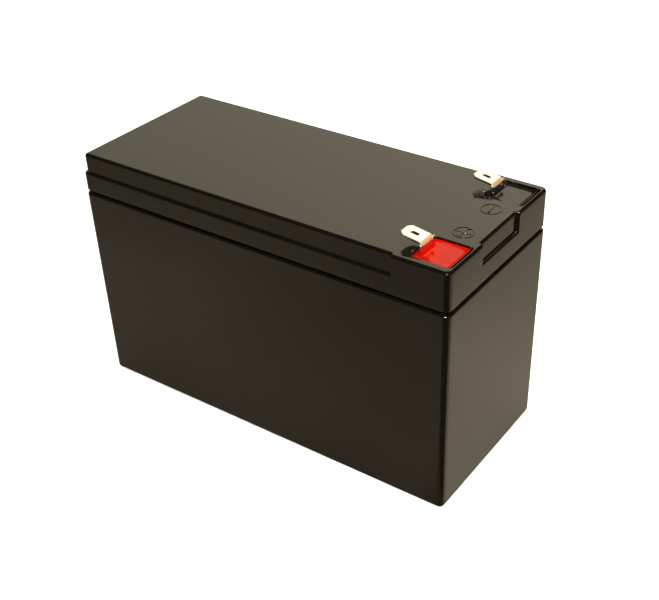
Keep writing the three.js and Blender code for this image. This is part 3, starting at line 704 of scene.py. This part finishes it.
def welded_nickel():
    """Rolled nickel with four spot welds over each cell, the plane being folded onto a quarter of a cell."""
    m = Nodes("nickel_strip")
    place = m.axes(m.place)
    half = CELL_PITCH / 2 * MM
    squares = []
    for axis, offset in zip("XY", WELD_OFFSET):
        folded = m.math("PINGPONG", m.math("SUBTRACT", place[axis], half), half)
        squares.append(m.math("POWER", m.math("SUBTRACT", folded, offset * MM), 2.0))
    away = m.math("POWER", m.plus(*squares), 0.5)
    radius = WELD_RADIUS * MM
    weld = m.remap(away, 1, 0, radius * 0.5, radius)
    halo = m.remap(away, 1, 0, radius, radius * 1.8)
    grain = m.noise(500, detail=3, stretch=(0.2, 4, 1))
    plain = m.mix(m.remap(grain, 0, 1), (0.60, 0.58, 0.52), (0.68, 0.66, 0.61))
    return m.finish(
        Base_Color=m.mix(m.times(halo, 0.5), plain, (0.38, 0.33, 0.26)),
        Roughness=m.plus(m.remap(grain, 0.24, 0.36), m.times(weld, 0.25)),
        Normal=m.bump(m.times(weld, -1.0), 0.8, 0.12, m.bump(grain, 0.12, 0.02)),
        Metallic=1.0)


def open_foam():
    """Dark closed-cell foam: small pits of several sizes, darkened in colour as painted shade, and an uneven
    tone.
    """
    m = Nodes("packing_foam")
    pits_and_painted_shade = m.math("MAXIMUM", m.spots(1100, 0.35), m.times(m.spots(520, 0.3), 0.8))
    cloud = m.noise(160)
    body = m.mix(m.remap(cloud, 0, 1), (0.045, 0.047, 0.05), (0.075, 0.078, 0.082))
    return m.finish(
        # The pits are darkened in colour as well as dented: painted shade in the hollows.
        Base_Color=m.mix(m.times(pits_and_painted_shade, 0.7), body, (0.015, 0.016, 0.017)),
        Roughness=m.remap(cloud, 0.85, 0.98),
        Normal=m.bump(m.times(pits_and_painted_shade, -1.0), 0.7, 0.15, m.bump(m.noise(240, detail=2), 0.3, 0.2)),
        Specular_IOR_Level=0.2)


def solder_mask():
    """Green lacquer over copper areas that stand slightly proud, with thin gaps between them."""
    m = Nodes("solder_mask")
    areas = m.node("TexVoronoi", {"Vector": m.place, "Scale": 170}, feature="DISTANCE_TO_EDGE")
    copper = m.remap(areas.outputs["Distance"], 0, 1, 0.03, 0.06)
    weave = m.noise(900, detail=2)
    bare = m.mix(weave, (0.012, 0.075, 0.028), (0.02, 0.10, 0.038))
    return m.finish(
        Base_Color=m.mix(copper, bare, (0.035, 0.17, 0.06)),
        Roughness=m.remap(weave, 0.28, 0.42),
        Normal=m.bump(copper, 0.5, 0.04, m.bump(weave, 0.1, 0.02)))


# ---------------------------------------- round solids shared by the pieces inside

def lathe(build, profile, centre, sides=72):
    """A turned solid. profile is (radius, height, material, waviness) from one end to the other."""
    rings = []
    for radius, height, _, wave in profile:
        points = []
        for i in range(sides):
            angle = 2 * math.pi * i / sides
            ripple = math.sin(5 * angle) + 0.7 * math.sin(13 * angle + 1) + 0.5 * math.sin(29 * angle)
            r = radius + wave * ripple
            points.append((centre[0] + r * math.cos(angle), centre[1] + r * math.sin(angle)))
        rings.append(build.ring(points, height))
    faces = [(row[2], build.bridge, pair) for row, pair in zip(profile, zip(rings, rings[1:]))]
    faces += [(profile[end][2], build.cap, (rings[end],)) for end in (0, -1)]
    for index, close, edges in faces:
        before = len(build.bm.faces)
        close(*edges)
        build.paint(index, before)


def spline(knots, per_span=10):
    """A smooth curve through points."""
    knots = [Vector(knot) for knot in knots]
    knots = [2 * knots[0] - knots[1]] + knots + [2 * knots[-1] - knots[-2]]
    curve = []
    for a, b, c, d in zip(knots, knots[1:], knots[2:], knots[3:]):
        before, here, after = (math.sqrt((q - p).length) for p, q in ((a, b), (b, c), (c, d)))
        leave = ((b - a) / before - (c - a) / (before + here) + (c - b) / here) * here
        arrive = ((c - b) / here - (d - b) / (here + after) + (d - c) / after) * here
        for i in range(per_span):
            t = i / per_span
            bend = 3 * (c - b) - 2 * leave - arrive
            curve.append(b + leave * t + bend * t ** 2 + (2 * (b - c) + leave + arrive) * t ** 3)
    return curve + [knots[-2]]


def frames_along(curve):
    """(distance, point, side, up) at each point of a curve, turning as little as possible between them."""
    frames = []
    distance = 0.0
    side = (curve[1] - curve[0]).orthogonal().normalized()
    for i, point in enumerate(curve):
        if i:
            distance += (point - curve[i - 1]).length
        ahead = (curve[min(i + 1, len(curve) - 1)] - curve[max(i - 1, 0)]).normalized()
        side = (side - ahead * side.dot(ahead)).normalized()
        frames.append((distance, point, side, ahead.cross(side)))
    return frames


def tube(build, frames, radius_at, sides, index):
    """A closed skin round a curve; radius_at(distance, angle) gives its size."""
    angles = [2 * math.pi * i / sides for i in range(sides)]
    build.solid([build.ring([
        point + (side * math.cos(a) + up * math.sin(a)) * radius_at(distance, a) for a in angles])
        for distance, point, side, up in frames], index)


# ---------------------------------------- cells, holders, strips, sheets and foam

def make_cell(number, materials):
    """A can in a shrunk sleeve whose wavy lips fold over both ends, with a crimp, a washer and a button."""
    low, high = box(f"cell_{number}")
    length = high.z - low.z
    top = length - BUTTON_HEIGHT
    crimp = top - CRIMP_BELOW_SHOULDER
    sleeve, steel, washer = range(3)
    r, lip, button = CELL_RADIUS, CELL_RADIUS - LIP_WIDTH, BUTTON_RADIUS
    groove = [(r - CRIMP_DEPTH * math.exp(-(i * 0.2) ** 2 / 0.3), crimp + i * 0.2) for i in range(-6, 7)]
    stretches = [          # (material, waviness, (radius, height) up from the flat end)
        (steel, 0, [(0.5, 0.28), (lip - 0.9, 0.28), (lip - 0.2, 0.14)]),
        (sleeve, LIP_WAVE, [(lip - 0.05, 0.05), (lip + 0.15, 0)]),
        (sleeve, 0, [
            (r - 0.8, 0), (r - 0.3, 0.1), (r - 0.06, 0.4), (r, 0.9), (r, crimp - 1.7), *groove,
            (r, crimp + 1.6), (r, top - 0.8), (r - 0.06, top - 0.4), (r - 0.3, top - 0.1), (r - 0.8, top)]),
        (sleeve, LIP_WAVE, [(lip + 0.15, top)]),
        (steel, LIP_WAVE, [(lip - 0.05, top - 0.05)]),
        (steel, 0, [(lip - 0.3, top - 0.2)]),
        (washer, 0, [(lip - 1.1, top - 0.24), (lip - 1.3, top - 0.12), (5.3, top - 0.12)]),
        (steel, 0, [
            (5.1, top - 0.22), (button + 0.2, top - 0.22), (button, top), (button, length - 0.3),
            (button - 0.1, length - 0.1), (button - 0.3, length), (1.2, length), (0.9, length - 0.08)]),
    ]
    positive_up = (number - 1) // 2 % 2 == 1
    profile = [(radius, low.z + height if positive_up else high.z - height, index, wave)
               for index, wave, points in stretches for radius, height in points]
    build = Builder()
    lathe(build, profile, (low + high).xy / 2)
    can = build.to_object(f"cell_can_{number}", weighted=False)
    stand_in(can, f"cell_{number}", "cell_sleeve", *materials)


def make_holder(level, material):
    """A moulded plate with eight bores, rounded mouths and two notches for the sense wires."""
    node = f"{level}_cell_holder"
    low, high = box(node)
    build = Builder()
    outer = build.stack(high.xy, rounded_side(HOLDER_ROUND, low.z, high.z, 4), HOLDER_CORNER)
    build.sweep(outer)
    mouth = [(HOLDER_ROUND, low.z), (0.15, low.z + 0.15), (0, low.z + HOLDER_ROUND)]
    mouth += [(grow, low.z + high.z - z) for grow, z in reversed(mouth)]
    bores = []
    for x in (-1.5, -0.5, 0.5, 1.5):
        for y in (-0.5, 0.5):
            place = (x * CELL_PITCH, y * CELL_PITCH)
            radius = CELL_RADIUS + BORE_GAP
            rings = [build.ring(circle(place, radius + grow * 0.6, 72), z) for grow, z in mouth]
            build.sweep(rings)
            bores.append(rings)
    for end in (0, -1):
        build.plate(outer[end], *[rings[end] for rings in bores])
    holder = build.to_object(f"holder_{level}")
    for x in (-CELL_PITCH, CELL_PITCH):
        across = (x - NOTCH_HALF, x + NOTCH_HALF)
        cut_slab(holder, across, (high.y - 3.8, high.y + 4), (low.z - 1, high.z + 1), 1.2, 0.2)
    stand_in(holder, node, "holder_plastic", material)


def soften(node, width, material):
    """Keeps a CAD node's own mesh, rounds its edges and gives it its finish."""
    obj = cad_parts[node]
    obj.data.materials.clear()
    obj.data.materials.append(material)
    bevel = obj.modifiers.new("soft_edges", "BEVEL")
    bevel.width = width * MM
    bevel.segments = 2
    bevel.limit_method = "ANGLE"
    bevel.angle_limit = math.radians(35)
    bevel.harden_normals = True
    smooth(obj.data)


def make_foam(node, material, seed):
    """A cut block of foam: rounded edges, slightly bowed and uneven faces."""
    low, high = box(node)
    half, centre = (high - low) / 2, (low + high) / 2
    edge = min(0.9, min(half) * 0.6)
    corner = min(FOAM_CORNER, min(half.xy) * 0.8)
    spans = []
    for size, middle in zip(half.xy, centre.xy):
        inside = size - corner
        count = max(2, int(inside / 4))
        spans.append([middle + inside * (2 * i / count - 1) for i in range(1, count)])
    xs, ys = spans
    rounding = [(edge, 0), (0.3 * edge, 0.3 * edge), (0, edge)]
    stories = max(2, int(2 * half.z / 5))
    levels = [(inset, low.z + height) for inset, height in rounding]
    levels += [(0, low.z + edge + 2 * (half.z - edge) * i / stories) for i in range(1, stories)]
    levels += [(inset, high.z - height) for inset, height in reversed(rounding)]
    build = Builder()
    rings = []
    for inset, z in levels:
        radius = max(corner - inset, 0.05)
        ring = []
        for x, y in rounded_outline(half.x - inset, half.y - inset, radius, centre.xy, xs, ys, ys, 5):
            dent = FOAM_WAVE * (0.5 + 0.5 * noise.noise(Vector((x, y, z)) * MM * 90 + Vector((seed, 0, 0))))
            pull = 1 - dent / max(half.xy)
            ring.append((centre.x + (x - centre.x) * pull, centre.y + (y - centre.y) * pull, z))
        rings.append(build.ring(ring))
    build.solid(rings)
    foam = build.to_object(f"{node}_pad")
    stand_in(foam, node, "foam", material)


# ---------------------------------------- protection board

def make_board(mask, tin):
    """The bare board, with plated rings at its corner holes and solder pads where leads and parts sit."""
    low, high = box("protection_board")
    build = Builder()
    outer = build.stack(
        (high - low) / 2, rounded_side(0.12, low.z, high.z, 3), BOARD_CORNER, centre=(low + high).xy / 2)
    build.sweep(outer)
    holes = []
    for x in (low.x + BOARD_HOLE_INSET, high.x - BOARD_HOLE_INSET):
        for y in (low.y + BOARD_HOLE_INSET, high.y - BOARD_HOLE_INSET):
            wall = [build.ring(circle((x, y), BOARD_HOLE_RADIUS, 36), z) for z in (low.z, high.z)]
            build.sweep(wall)
            holes.append(((x, y), wall))
    for end in (0, -1):
        build.plate(outer[end], *[wall[end] for _, wall in holes])
    tinned = (high.z - 0.05, high.z + PAD_HEIGHT)
    inner, outside = BOARD_HOLE_RADIUS + 0.02, BOARD_HOLE_RADIUS + 0.8
    for place, _ in holes:
        before = len(build.bm.faces)
        section = [(inner, tinned[0]), (inner, tinned[1]), (outside, tinned[1]), (outside, tinned[0])]
        rings = [build.ring(circle(place, radius, 36), z) for radius, z in section]
        build.sweep(rings + rings[:1])
        build.paint(1, before)
    pads = [((36, 41), (11.2, 15)), ((-1, 4), (12.2, 16))]
    for number in range(1, 5):
        a, b = box(f"power_transistor_{number}")
        pads += [((a.x + 0.2, b.x - 0.2), y) for y in ((b.y - 1.6, b.y + 0.5), (a.y - 0.4, a.y + 1.2))]
    for x, y in pads:
        build.slab(x, y, tinned, 0.3, 0.03, 1)
    stand_in(build.to_object("board"), "protection_board", "circuit_board", mask, tin)


def foot(build, x, width, y_body, y_end, z_body, z_low, index):
    """A gull-wing foot: out of the body, down, and flat on its pad."""
    flat = z_low + LEAF
    path = [(0, z_body), (0.25, z_body), (0.4, z_body - 0.08), (0.55, flat + 0.06), (0.68, flat), (1, flat)]
    corners = ((-1, -1), (1, -1), (1, 1), (-1, 1))
    build.solid([build.ring([
        (x + a * width / 2, y_body + (y_end - y_body) * run, z + b * LEAF) for a, b in corners])
        for run, z in path], index)


def make_transistor(number, body, tin):
    """A moulded power package with a parting line, a metal tab and three bent feet."""
    node = f"power_transistor_{number}"
    low, high = box(node)
    x = (low.x + high.x) / 2
    y_low, y_high = high.y - 7.2, high.y - 1.2
    levels = [(0.25, 0), (0.1, 0.1), (0, 0.9), (0.1, 0.92), (0.22, 2.1), (0.3, 2.22), (0.45, 2.3)]
    levels = [(inset, low.z + z) for inset, z in levels]
    half = ((high.x - low.x) / 2, (y_high - y_low) / 2)
    build = Builder()
    build.solid(build.stack(half, levels, 0.25, 0.25, (x, y_low + half[1]), 4))
    build.slab((x - 2.7, x + 2.7), (y_high - 0.5, high.y), (low.z, low.z + 0.6), 0.4, 0.08, 1)
    for step in (-2.3, 0, 2.3):
        foot(build, x + step, 0.8, y_low + 0.2, low.y, low.z + 0.5, low.z, 1)
    stand_in(build.to_object(f"power_package_{number}"), node, "component_black", body, tin)


def make_resistor(number, ceramic, tin):
    """A flat shunt: a dark body between two wrapped metal ends."""
    node = f"sense_resistor_{number}"
    low, high = box(node)
    build = Builder()
    build.slab((low.x + 0.9, high.x - 0.9), (low.y, high.y), (low.z + 0.1, high.z), 0.1, 0.08)
    for x in ((low.x, low.x + 1.2), (high.x - 1.2, high.x)):
        build.slab(x, (low.y, high.y), (low.z, high.z - 0.1), 0.15, 0.1, 1)
    stand_in(build.to_object(f"shunt_{number}"), node, "component_black", ceramic, tin)


def make_controller(body, tin):
    """A small-outline chip with seven feet a side and a moulded dimple at its first foot."""
    low, high = box("controller_chip")
    x, y = (low + high).xy / 2
    levels = [(0.12, 0.1), (0, 0.55), (0.02, 0.6), (0.12, 1.12), (0.22, 1.2)]
    build = Builder()
    rings = build.stack((3.2, 2.2), [(inset, low.z + z) for inset, z in levels], 0.12, 0.12, (x, y), 3)
    dimple = [build.ring(circle((x - 2.4, y - 1.4), radius, 24), low.z + z)
              for radius, z in ((0.35, 1.2), (0.3, 1.16), (0.15, 1.12))]
    build.cap(rings[0])
    build.plate(build.sweep(rings), dimple[0])
    build.cap(build.sweep(dimple))
    for pin in range(-3, 4):
        for end in (-1, 1):
            foot(build, x + pin * 0.9, 0.4, y + end * 2.1, y + end * 3.2, low.z + 0.5, low.z, 1)
    stand_in(build.to_object("controller"), "controller_chip", "component_black", body, tin)


def make_socket(nylon, tin):
    """A side-entry shell with a keyed mouth, and the feet of five pins behind it."""
    low, high = box("balance_socket")
    wall = 0.9
    build = Builder()
    build.slab((low.x, high.x), (low.y, high.y), (low.z, high.z), 0.3, 0.15)
    shell = build.to_object("socket_shell")
    inside = (low.z + 0.95, high.z - 0.8)
    cut_slab(shell, (low.x + wall, high.x - wall), (low.y + 1.5, high.y + 2), inside, 0.2, 0.1)
    middle = (low.x + high.x) / 2
    for part in (-0.25, 0.25):
        x = middle + part * (high.x - low.x)
        cut_slab(shell, (x - 0.7, x + 0.7), (high.y - 2, high.y + 1), (high.z - 1.2, high.z + 1), 0.1, 0.05)
    stand_in(shell, "balance_socket", "connector_nylon", nylon)
    pins = Builder()
    for i in range(-2, 3):
        foot(pins, middle + i * WIRE_PITCH, 0.5, low.y + 0.5, low.y - 0.9, low.z + 0.6, low.z, 0)
    feet = pins.to_object("socket_feet")
    feet.data.materials.append(tin)
    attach(feet, "root")


def make_plug(nylon):
    """The cable half: a nose in the socket and a grip with a window over each crimp."""
    low, high = box("balance_plug")
    build = Builder()
    build.slab((low.x + 0.6, high.x - 0.6), (low.y, high.y - 4), (low.z + 0.3, high.z - 0.5), 0.2, 0.15)
    build.slab((low.x, high.x), (high.y - 4.6, high.y), (low.z, high.z), 0.3, 0.2)
    plug = build.to_object("balance_plug_body")
    for i in range(-2, 3):
        x = (low.x + high.x) / 2 + i * WIRE_PITCH
        through = (high.z - 0.9, high.z + 1)
        cut_slab(plug, (x - 0.7, x + 0.7), (high.y - 3.6, high.y - 1.4), through, 0.2, 0.05)
    stand_in(plug, "balance_plug", "connector_nylon", nylon)


# ---------------------------------------- leads and sense wires

# A soldered end's (radius, height, waviness), as parts of the conductor's radius.
DOME = ((1.15, -1, 0.02), (1.1, -0.7, 0.02), (1, -0.2, 0), (0.8, 0.35, 0), (0.5, 0.7, 0), (0.15, 0.85, 0))


def make_wire(node, name, slot, points, radius, bare, sleeve, tin):
    """A stranded conductor in a sleeve that stops short of its ends by the two bare lengths."""
    frames = frames_along(spline(points))
    inside = [f for f in frames if bare[0] <= f[0] <= frames[-1][0] - bare[1]]
    first, last = inside[0][0], inside[-1][0]
    lip = 0.35 * radius

    def sleeve_radius(distance, angle):
        near = min(distance - first, last - distance)
        return radius * (0.8 + 0.2 * min(1.0, near / lip)) * (1 + 0.012 * math.sin(2 * angle + distance / 3))

    def strand_radius(distance, angle):
        return radius * 0.6 * (1 + 0.09 * math.cos(6 * angle + distance * 2.2 / radius))

    build = Builder()
    tube(build, inside, sleeve_radius, 20, 0)
    tube(build, frames, strand_radius, 24, 1)
    for end in (0, -1):
        if bare[end]:
            point = frames[end][1]
            dome = [(radius * r, point.z + radius * h, 1, radius * wave) for r, h, wave in DOME]
            lathe(build, dome, point.xy, 24)
    stand_in(build.to_object(name, weighted=False), node, slot, sleeve, tin)


LEAD_Z = 73.4              # the leads' axes over the strips and over the board
BOARD_LEAD_Z = 77.5
WIRE_Z = 72.75
LEAD_BARE = (2.2, 1.6)
WIRE_BARE = (0, 1.2)

LEAD_ROUTES = {
    "positive_output_lead": [
        (50, -21.5, LEAD_Z), (54.5, -21.8, LEAD_Z + 0.3), (58.5, -22.2, 75.4), (59.6, -22.25, 79),
        (59.6, -22.25, 83.2)],
    "negative_output_lead": [
        (38, 13, BOARD_LEAD_Z), (44, 14.6, BOARD_LEAD_Z), (51, 18.4, BOARD_LEAD_Z + 0.2), (57.4, 21.4, 78.4),
        (59.6, 22.25, 80.8), (59.6, 22.25, 83.2)],
    "cell_negative_lead": [
        (-31, 21, LEAD_Z), (-27.5, 21, LEAD_Z + 0.2), (-22, 20.9, LEAD_Z + 1.2), (-13, 19.5, LEAD_Z + 2.9),
        (-5, 16, BOARD_LEAD_Z + 0.3), (2, 14, BOARD_LEAD_Z)],
}


def drop(x):
    return [(x, 25.5, z) for z in (71.5, 60, 30, 6.2)]


SENSE_ROUTES = [
    [(14.6, 25.4, 79), (10, 26.5, 78.6), (0, 26.6, 77.9), (-16, 25.5, 77.4), (-26, 22, 76.6),
     (-31, 19.4, 74.8), (-31.6, 18.4, WIRE_Z)],
    [(17.3, 25.8, 78.4), (14.5, 26.4, 76.5), (6, 26.4, 75.2), (-20, 26.2, 74.9), (-26.4, 25.7, 74.2),
     *drop(-27.2)],
    [(20, 25.6, 78.3), (20, 26, 76.2), (20, 25.2, 73.8), (20, 25, WIRE_Z - 0.65)],
    [(22.8, 25.6, 78.4), (25, 26.2, 76.2), (26.9, 25.7, 73.6), *drop(27.2)],
    [(25.5, 25.4, 79), (29, 26.6, 78.6), (38, 26.6, 77), (46, 25, 74.8), (50, 21.6, 73.4),
     (51.6, 19, WIRE_Z)],
]


def make_pack():
    """Everything inside the case and lid."""
    tin = metal("solder_tin", (0.62, 0.61, 0.58), (0.74, 0.73, 0.71), 0.28)
    steel = metal("can_steel", (0.52, 0.51, 0.49), (0.62, 0.61, 0.59), 0.3)
    sleeve = moulded("sleeve_blue", (0.02, 0.11, 0.32), (0.03, 0.14, 0.38), 0.33, scale=120)
    washer = moulded("washer_paper", (0.72, 0.70, 0.64), (0.80, 0.78, 0.72), 0.8, scale=600, relief=0.4)
    for number in range(1, 9):
        make_cell(number, (sleeve, steel, washer))
    holder = moulded(
        "holder_grey", (0.032, 0.034, 0.036), (0.048, 0.05, 0.053), 0.52, scale=200, relief=0.35, speck=0.4)
    make_holder("lower", holder)
    make_holder("upper", holder)
    nickel = welded_nickel()
    for node in ("lower_strip_left", "lower_strip_right", "negative_strip", "middle_strip", "positive_strip"):
        soften(node, 0.06, nickel)
    paper = moulded(
        "fish_paper", (0.42, 0.40, 0.28), (0.52, 0.50, 0.37), 0.85, scale=500, relief=0.5, speck=0.5)
    for node in ("lower_insulating_sheet", "upper_insulating_sheet"):
        soften(node, 0.08, paper)
    foam = open_foam()
    for seed, place in enumerate(("base", "left_end", "right_end", "front", "back", "top")):
        make_foam(f"{place}_foam", foam, seed)
    make_foam("board_foam_tape", foam, 6)
    make_board(solder_mask(), tin)
    epoxy = moulded("mould_epoxy", (0.016, 0.016, 0.017), (0.026, 0.026, 0.027), 0.5, scale=900, relief=0.4)
    for number in range(1, 5):
        make_transistor(number, epoxy, tin)
    for number in (1, 2):
        make_resistor(number, epoxy, tin)
    make_controller(epoxy, tin)
    nylon = moulded("nylon", (0.72, 0.70, 0.62), (0.80, 0.78, 0.71), 0.45, scale=150)
    make_socket(nylon, tin)
    make_plug(nylon)
    red = moulded("sleeve_red", (0.42, 0.015, 0.01), (0.50, 0.025, 0.018), 0.42)
    black = moulded("sleeve_black", (0.01, 0.01, 0.01), (0.02, 0.02, 0.02), 0.45)
    for node, route in LEAD_ROUTES.items():
        colour, slot = (red, "lead_red") if node.startswith("positive") else (black, "lead_black")
        make_wire(node, f"{node}_cable", slot, route, LEAD_RADIUS, LEAD_BARE, colour, tin)
    colours = [
        (black, "lead_black"),
        (moulded("sleeve_wire_blue", (0.03, 0.12, 0.38), (0.05, 0.16, 0.45), 0.42), "wire_blue"),
        (moulded("sleeve_wire_yellow", (0.62, 0.46, 0.03), (0.70, 0.54, 0.05), 0.42), "wire_yellow"),
        (moulded("sleeve_wire_white", (0.70, 0.68, 0.62), (0.78, 0.76, 0.70), 0.42), "wire_white"),
        (red, "lead_red"),
    ]
    for i, (colour, slot) in enumerate(colours):
        route = [(20 + (i - 2) * WIRE_PITCH, 23.8, 79.15), *SENSE_ROUTES[i]]
        node, name = f"balance_wire_{i + 1}", f"sense_wire_{i + 1}"
        make_wire(node, name, slot, route, WIRE_RADIUS, WIRE_BARE, colour, tin)


# ---------------------------------------- stage

def make_camera():
    """The viewing angle, distance and framing: from the positive side and the terminal end."""
    azimuth, elevation, roll = (math.radians(a) for a in (34.408, 34.26, -1.035))
    distance = 396.12
    level = math.cos(elevation)
    back = Vector((math.sin(azimuth) * level, -math.cos(azimuth) * level, math.sin(elevation)))
    level_right = Vector((0, 0, 1)).cross(back).normalized()
    level_up = back.cross(level_right)
    right = level_right * math.cos(roll) + level_up * math.sin(roll)
    up = level_up * math.cos(roll) - level_right * math.sin(roll)
    place = Vector((0, 0, 47)) + right * 20.34 - up * 13.15 + back * distance
    data = bpy.data.cameras.new("camera")
    data.sensor_width = 36
    data.lens = 59.5
    data.shift_x = -0.0576
    data.shift_y = 0.0313
    data.clip_start = 0.01
    camera = bpy.data.objects.new("camera", data)
    camera.matrix_world = Matrix.Translation(place * MM) @ Matrix((right, up, back)).transposed().to_4x4()
    bpy.context.scene.collection.objects.link(camera)
    bpy.context.scene.camera = camera


def aimed(place, aim):
    """The transform of something at place, in metres, whose face looks towards aim."""
    turn = (Vector(aim) - Vector(place)).to_track_quat("-Z", "Y")
    return Matrix.Translation(place) @ turn.to_matrix().to_4x4()


def make_area_light(name, place, aim, size, radiance, color, in_reflections=True):
    """A square soft light, in metres, whose strength is given as the brightness of its own face."""
    data = bpy.data.lights.new(name, "AREA")
    data.shape = "RECTANGLE"
    data.size = data.size_y = size
    data.energy = radiance * math.pi * size * size
    data.color = color
    light = bpy.data.objects.new(name, data)
    light.matrix_world = aimed(place, aim)
    light.visible_glossy = in_reflections
    bpy.context.scene.collection.objects.link(light)


def flat_sheet(name, x, y, z, material, reflected_only=True):
    mesh = bpy.data.meshes.new(name)
    corners = [(x[0], y[0]), (x[1], y[0]), (x[1], y[1]), (x[0], y[1])]
    mesh.from_pydata([(a * MM, b * MM, z * MM) for a, b in corners], [], [(0, 1, 2, 3)])
    mesh.materials.append(material)
    obj = bpy.data.objects.new(name, mesh)
    bpy.context.scene.collection.objects.link(obj)
    if reflected_only:
        for ray in ("camera", "diffuse", "shadow", "transmission"):
            setattr(obj, f"visible_{ray}", False)
    return obj


def ramped_card(name, color, *ramps):
    """A matt card of one colour, dimmed by ramps: (axis, start, end, first tone, last tone) each."""
    m = Nodes(name)
    place = m.axes(m.place)
    tone = m.remap(m.noise(9, detail=1), 0.94, 1.06)
    for axis, start, end, first, last in ramps:
        tone = m.times(tone, m.remap(place[axis], first, last, start * MM, end * MM))
    return m.finish(Base_Color=m.mix(tone, (0, 0, 0), color), Roughness=0.95, Specular_IOR_Level=0.0)


def make_glow():
    """A large soft panel that only reflections see, brighter towards its upper left: a painted reflection of
    a soft light.
    """
    m = Nodes("glow")
    place = m.axes(m.place)
    tone = m.times(m.remap(place["X"], 1.3, 0.7, -0.5, 0.5), m.remap(place["Y"], 0.6, 1.4, -0.5, 0.5))
    glow = m.finish(
        Base_Color=(0, 0, 0, 1), Specular_IOR_Level=0.0,
        Emission_Color=(1.36, 1.26, 0.97, 1), Emission_Strength=tone)
    panel = flat_sheet("painted_reflection_panel", (-750, 750), (-550, 550), 0, glow)
    panel.matrix_world = aimed((-0.62, 0.92, 0.85), (0, 0, 0.09))


def make_stage():
    """A pale floor, soft warm lights, and cards that only reflections see, which keep the dark side dark:
    painted reflections.
    """
    white = ramped_card("floor_white", (0.88, 0.88, 0.88))
    flat_sheet("floor", (-1000, 1000), (-1000, 1000), 0, white, reflected_only=False)
    front = -HALF_Y
    # Painted reflections: the left card, dark and ramped, sets the shade and its gradient on the case's
    # front; the right card, warm, sets the sheen on the +X end.
    left = ramped_card(
        "painted_reflection_left", (0.19, 0.171, 0.138),
        ("X", -100, 30, 1, 0.58), ("X", 62, 85, 1, 0.1),
        ("Y", front - 85, front - 10, 0.86, 1.3), ("Y", front - 115, front - 92, 0.85, 1))
    right = ramped_card(
        "painted_reflection_right", (0.305, 0.281, 0.233),
        ("X", HALF_X + 60, HALF_X + 95, 1, 0.68), ("Y", 45, 90, 1, 0.82))
    tuck, lift = 2, 0.3     # how far the cards reach under the case, and their height over the floor
    flat_sheet("painted_reflection_sheet_left", (-700, 900), (-800, front + tuck), lift, left)
    flat_sheet("painted_reflection_sheet_right", (HALF_X - tuck, 900), (front + tuck, 1200), lift, right)
    make_glow()
    make_area_light("overhead", (0.15, 0.1, 1.6), (0.05, 0, 0), 2, 5.5, (1, 0.94, 0.83), in_reflections=False)
    make_area_light("camera_side", (0.27, -0.34, 0.36), (0, 0, 0.05), 0.08, 240, (1, 0.97, 0.92))
    world = bpy.data.worlds.new("studio")
    bpy.context.scene.world = world
    world.use_nodes = True
    nodes, links = world.node_tree.nodes, world.node_tree.links
    background = nodes["Background"]
    background.inputs["Strength"].default_value = 1
    mix = nodes.new("ShaderNodeMix")
    mix.data_type = "RGBA"
    mix.inputs[6].default_value = (0.05, 0.047, 0.04, 1)
    mix.inputs[7].default_value = (0.98, 0.98, 0.98, 1)
    links.new(nodes.new("ShaderNodeLightPath").outputs["Is Camera Ray"], mix.inputs["Factor"])
    links.new(mix.outputs[2], background.inputs["Color"])
    bpy.context.scene.view_settings.view_transform = "Standard"


def main():
    make_camera()
    plastic = black_plastic()
    make_case(plastic)
    make_lid(plastic)
    tin = tinned_tab()
    raw_edge = metal("cut_brass", (0.16, 0.12, 0.07), (0.24, 0.18, 0.11), 0.55)
    for side in (-1, 1):
        make_terminal(side, tin, raw_edge)
    red = poured_resin("red_resin", (0.2, 0.001, 0.0), (0.25, 0.002, 0.0), 0.06, (1, 0.3, 0.08), 1.34)
    black = poured_resin(
        "black_resin", (0.002, 0.0018, 0.0014), (0.004, 0.0035, 0.003), 0.08, (1, 0.93, 0.8), 1.46)
    make_resin(-1, "red_resin", red)
    make_resin(1, "black_resin", black)
    make_pack()
    make_stage()


main()
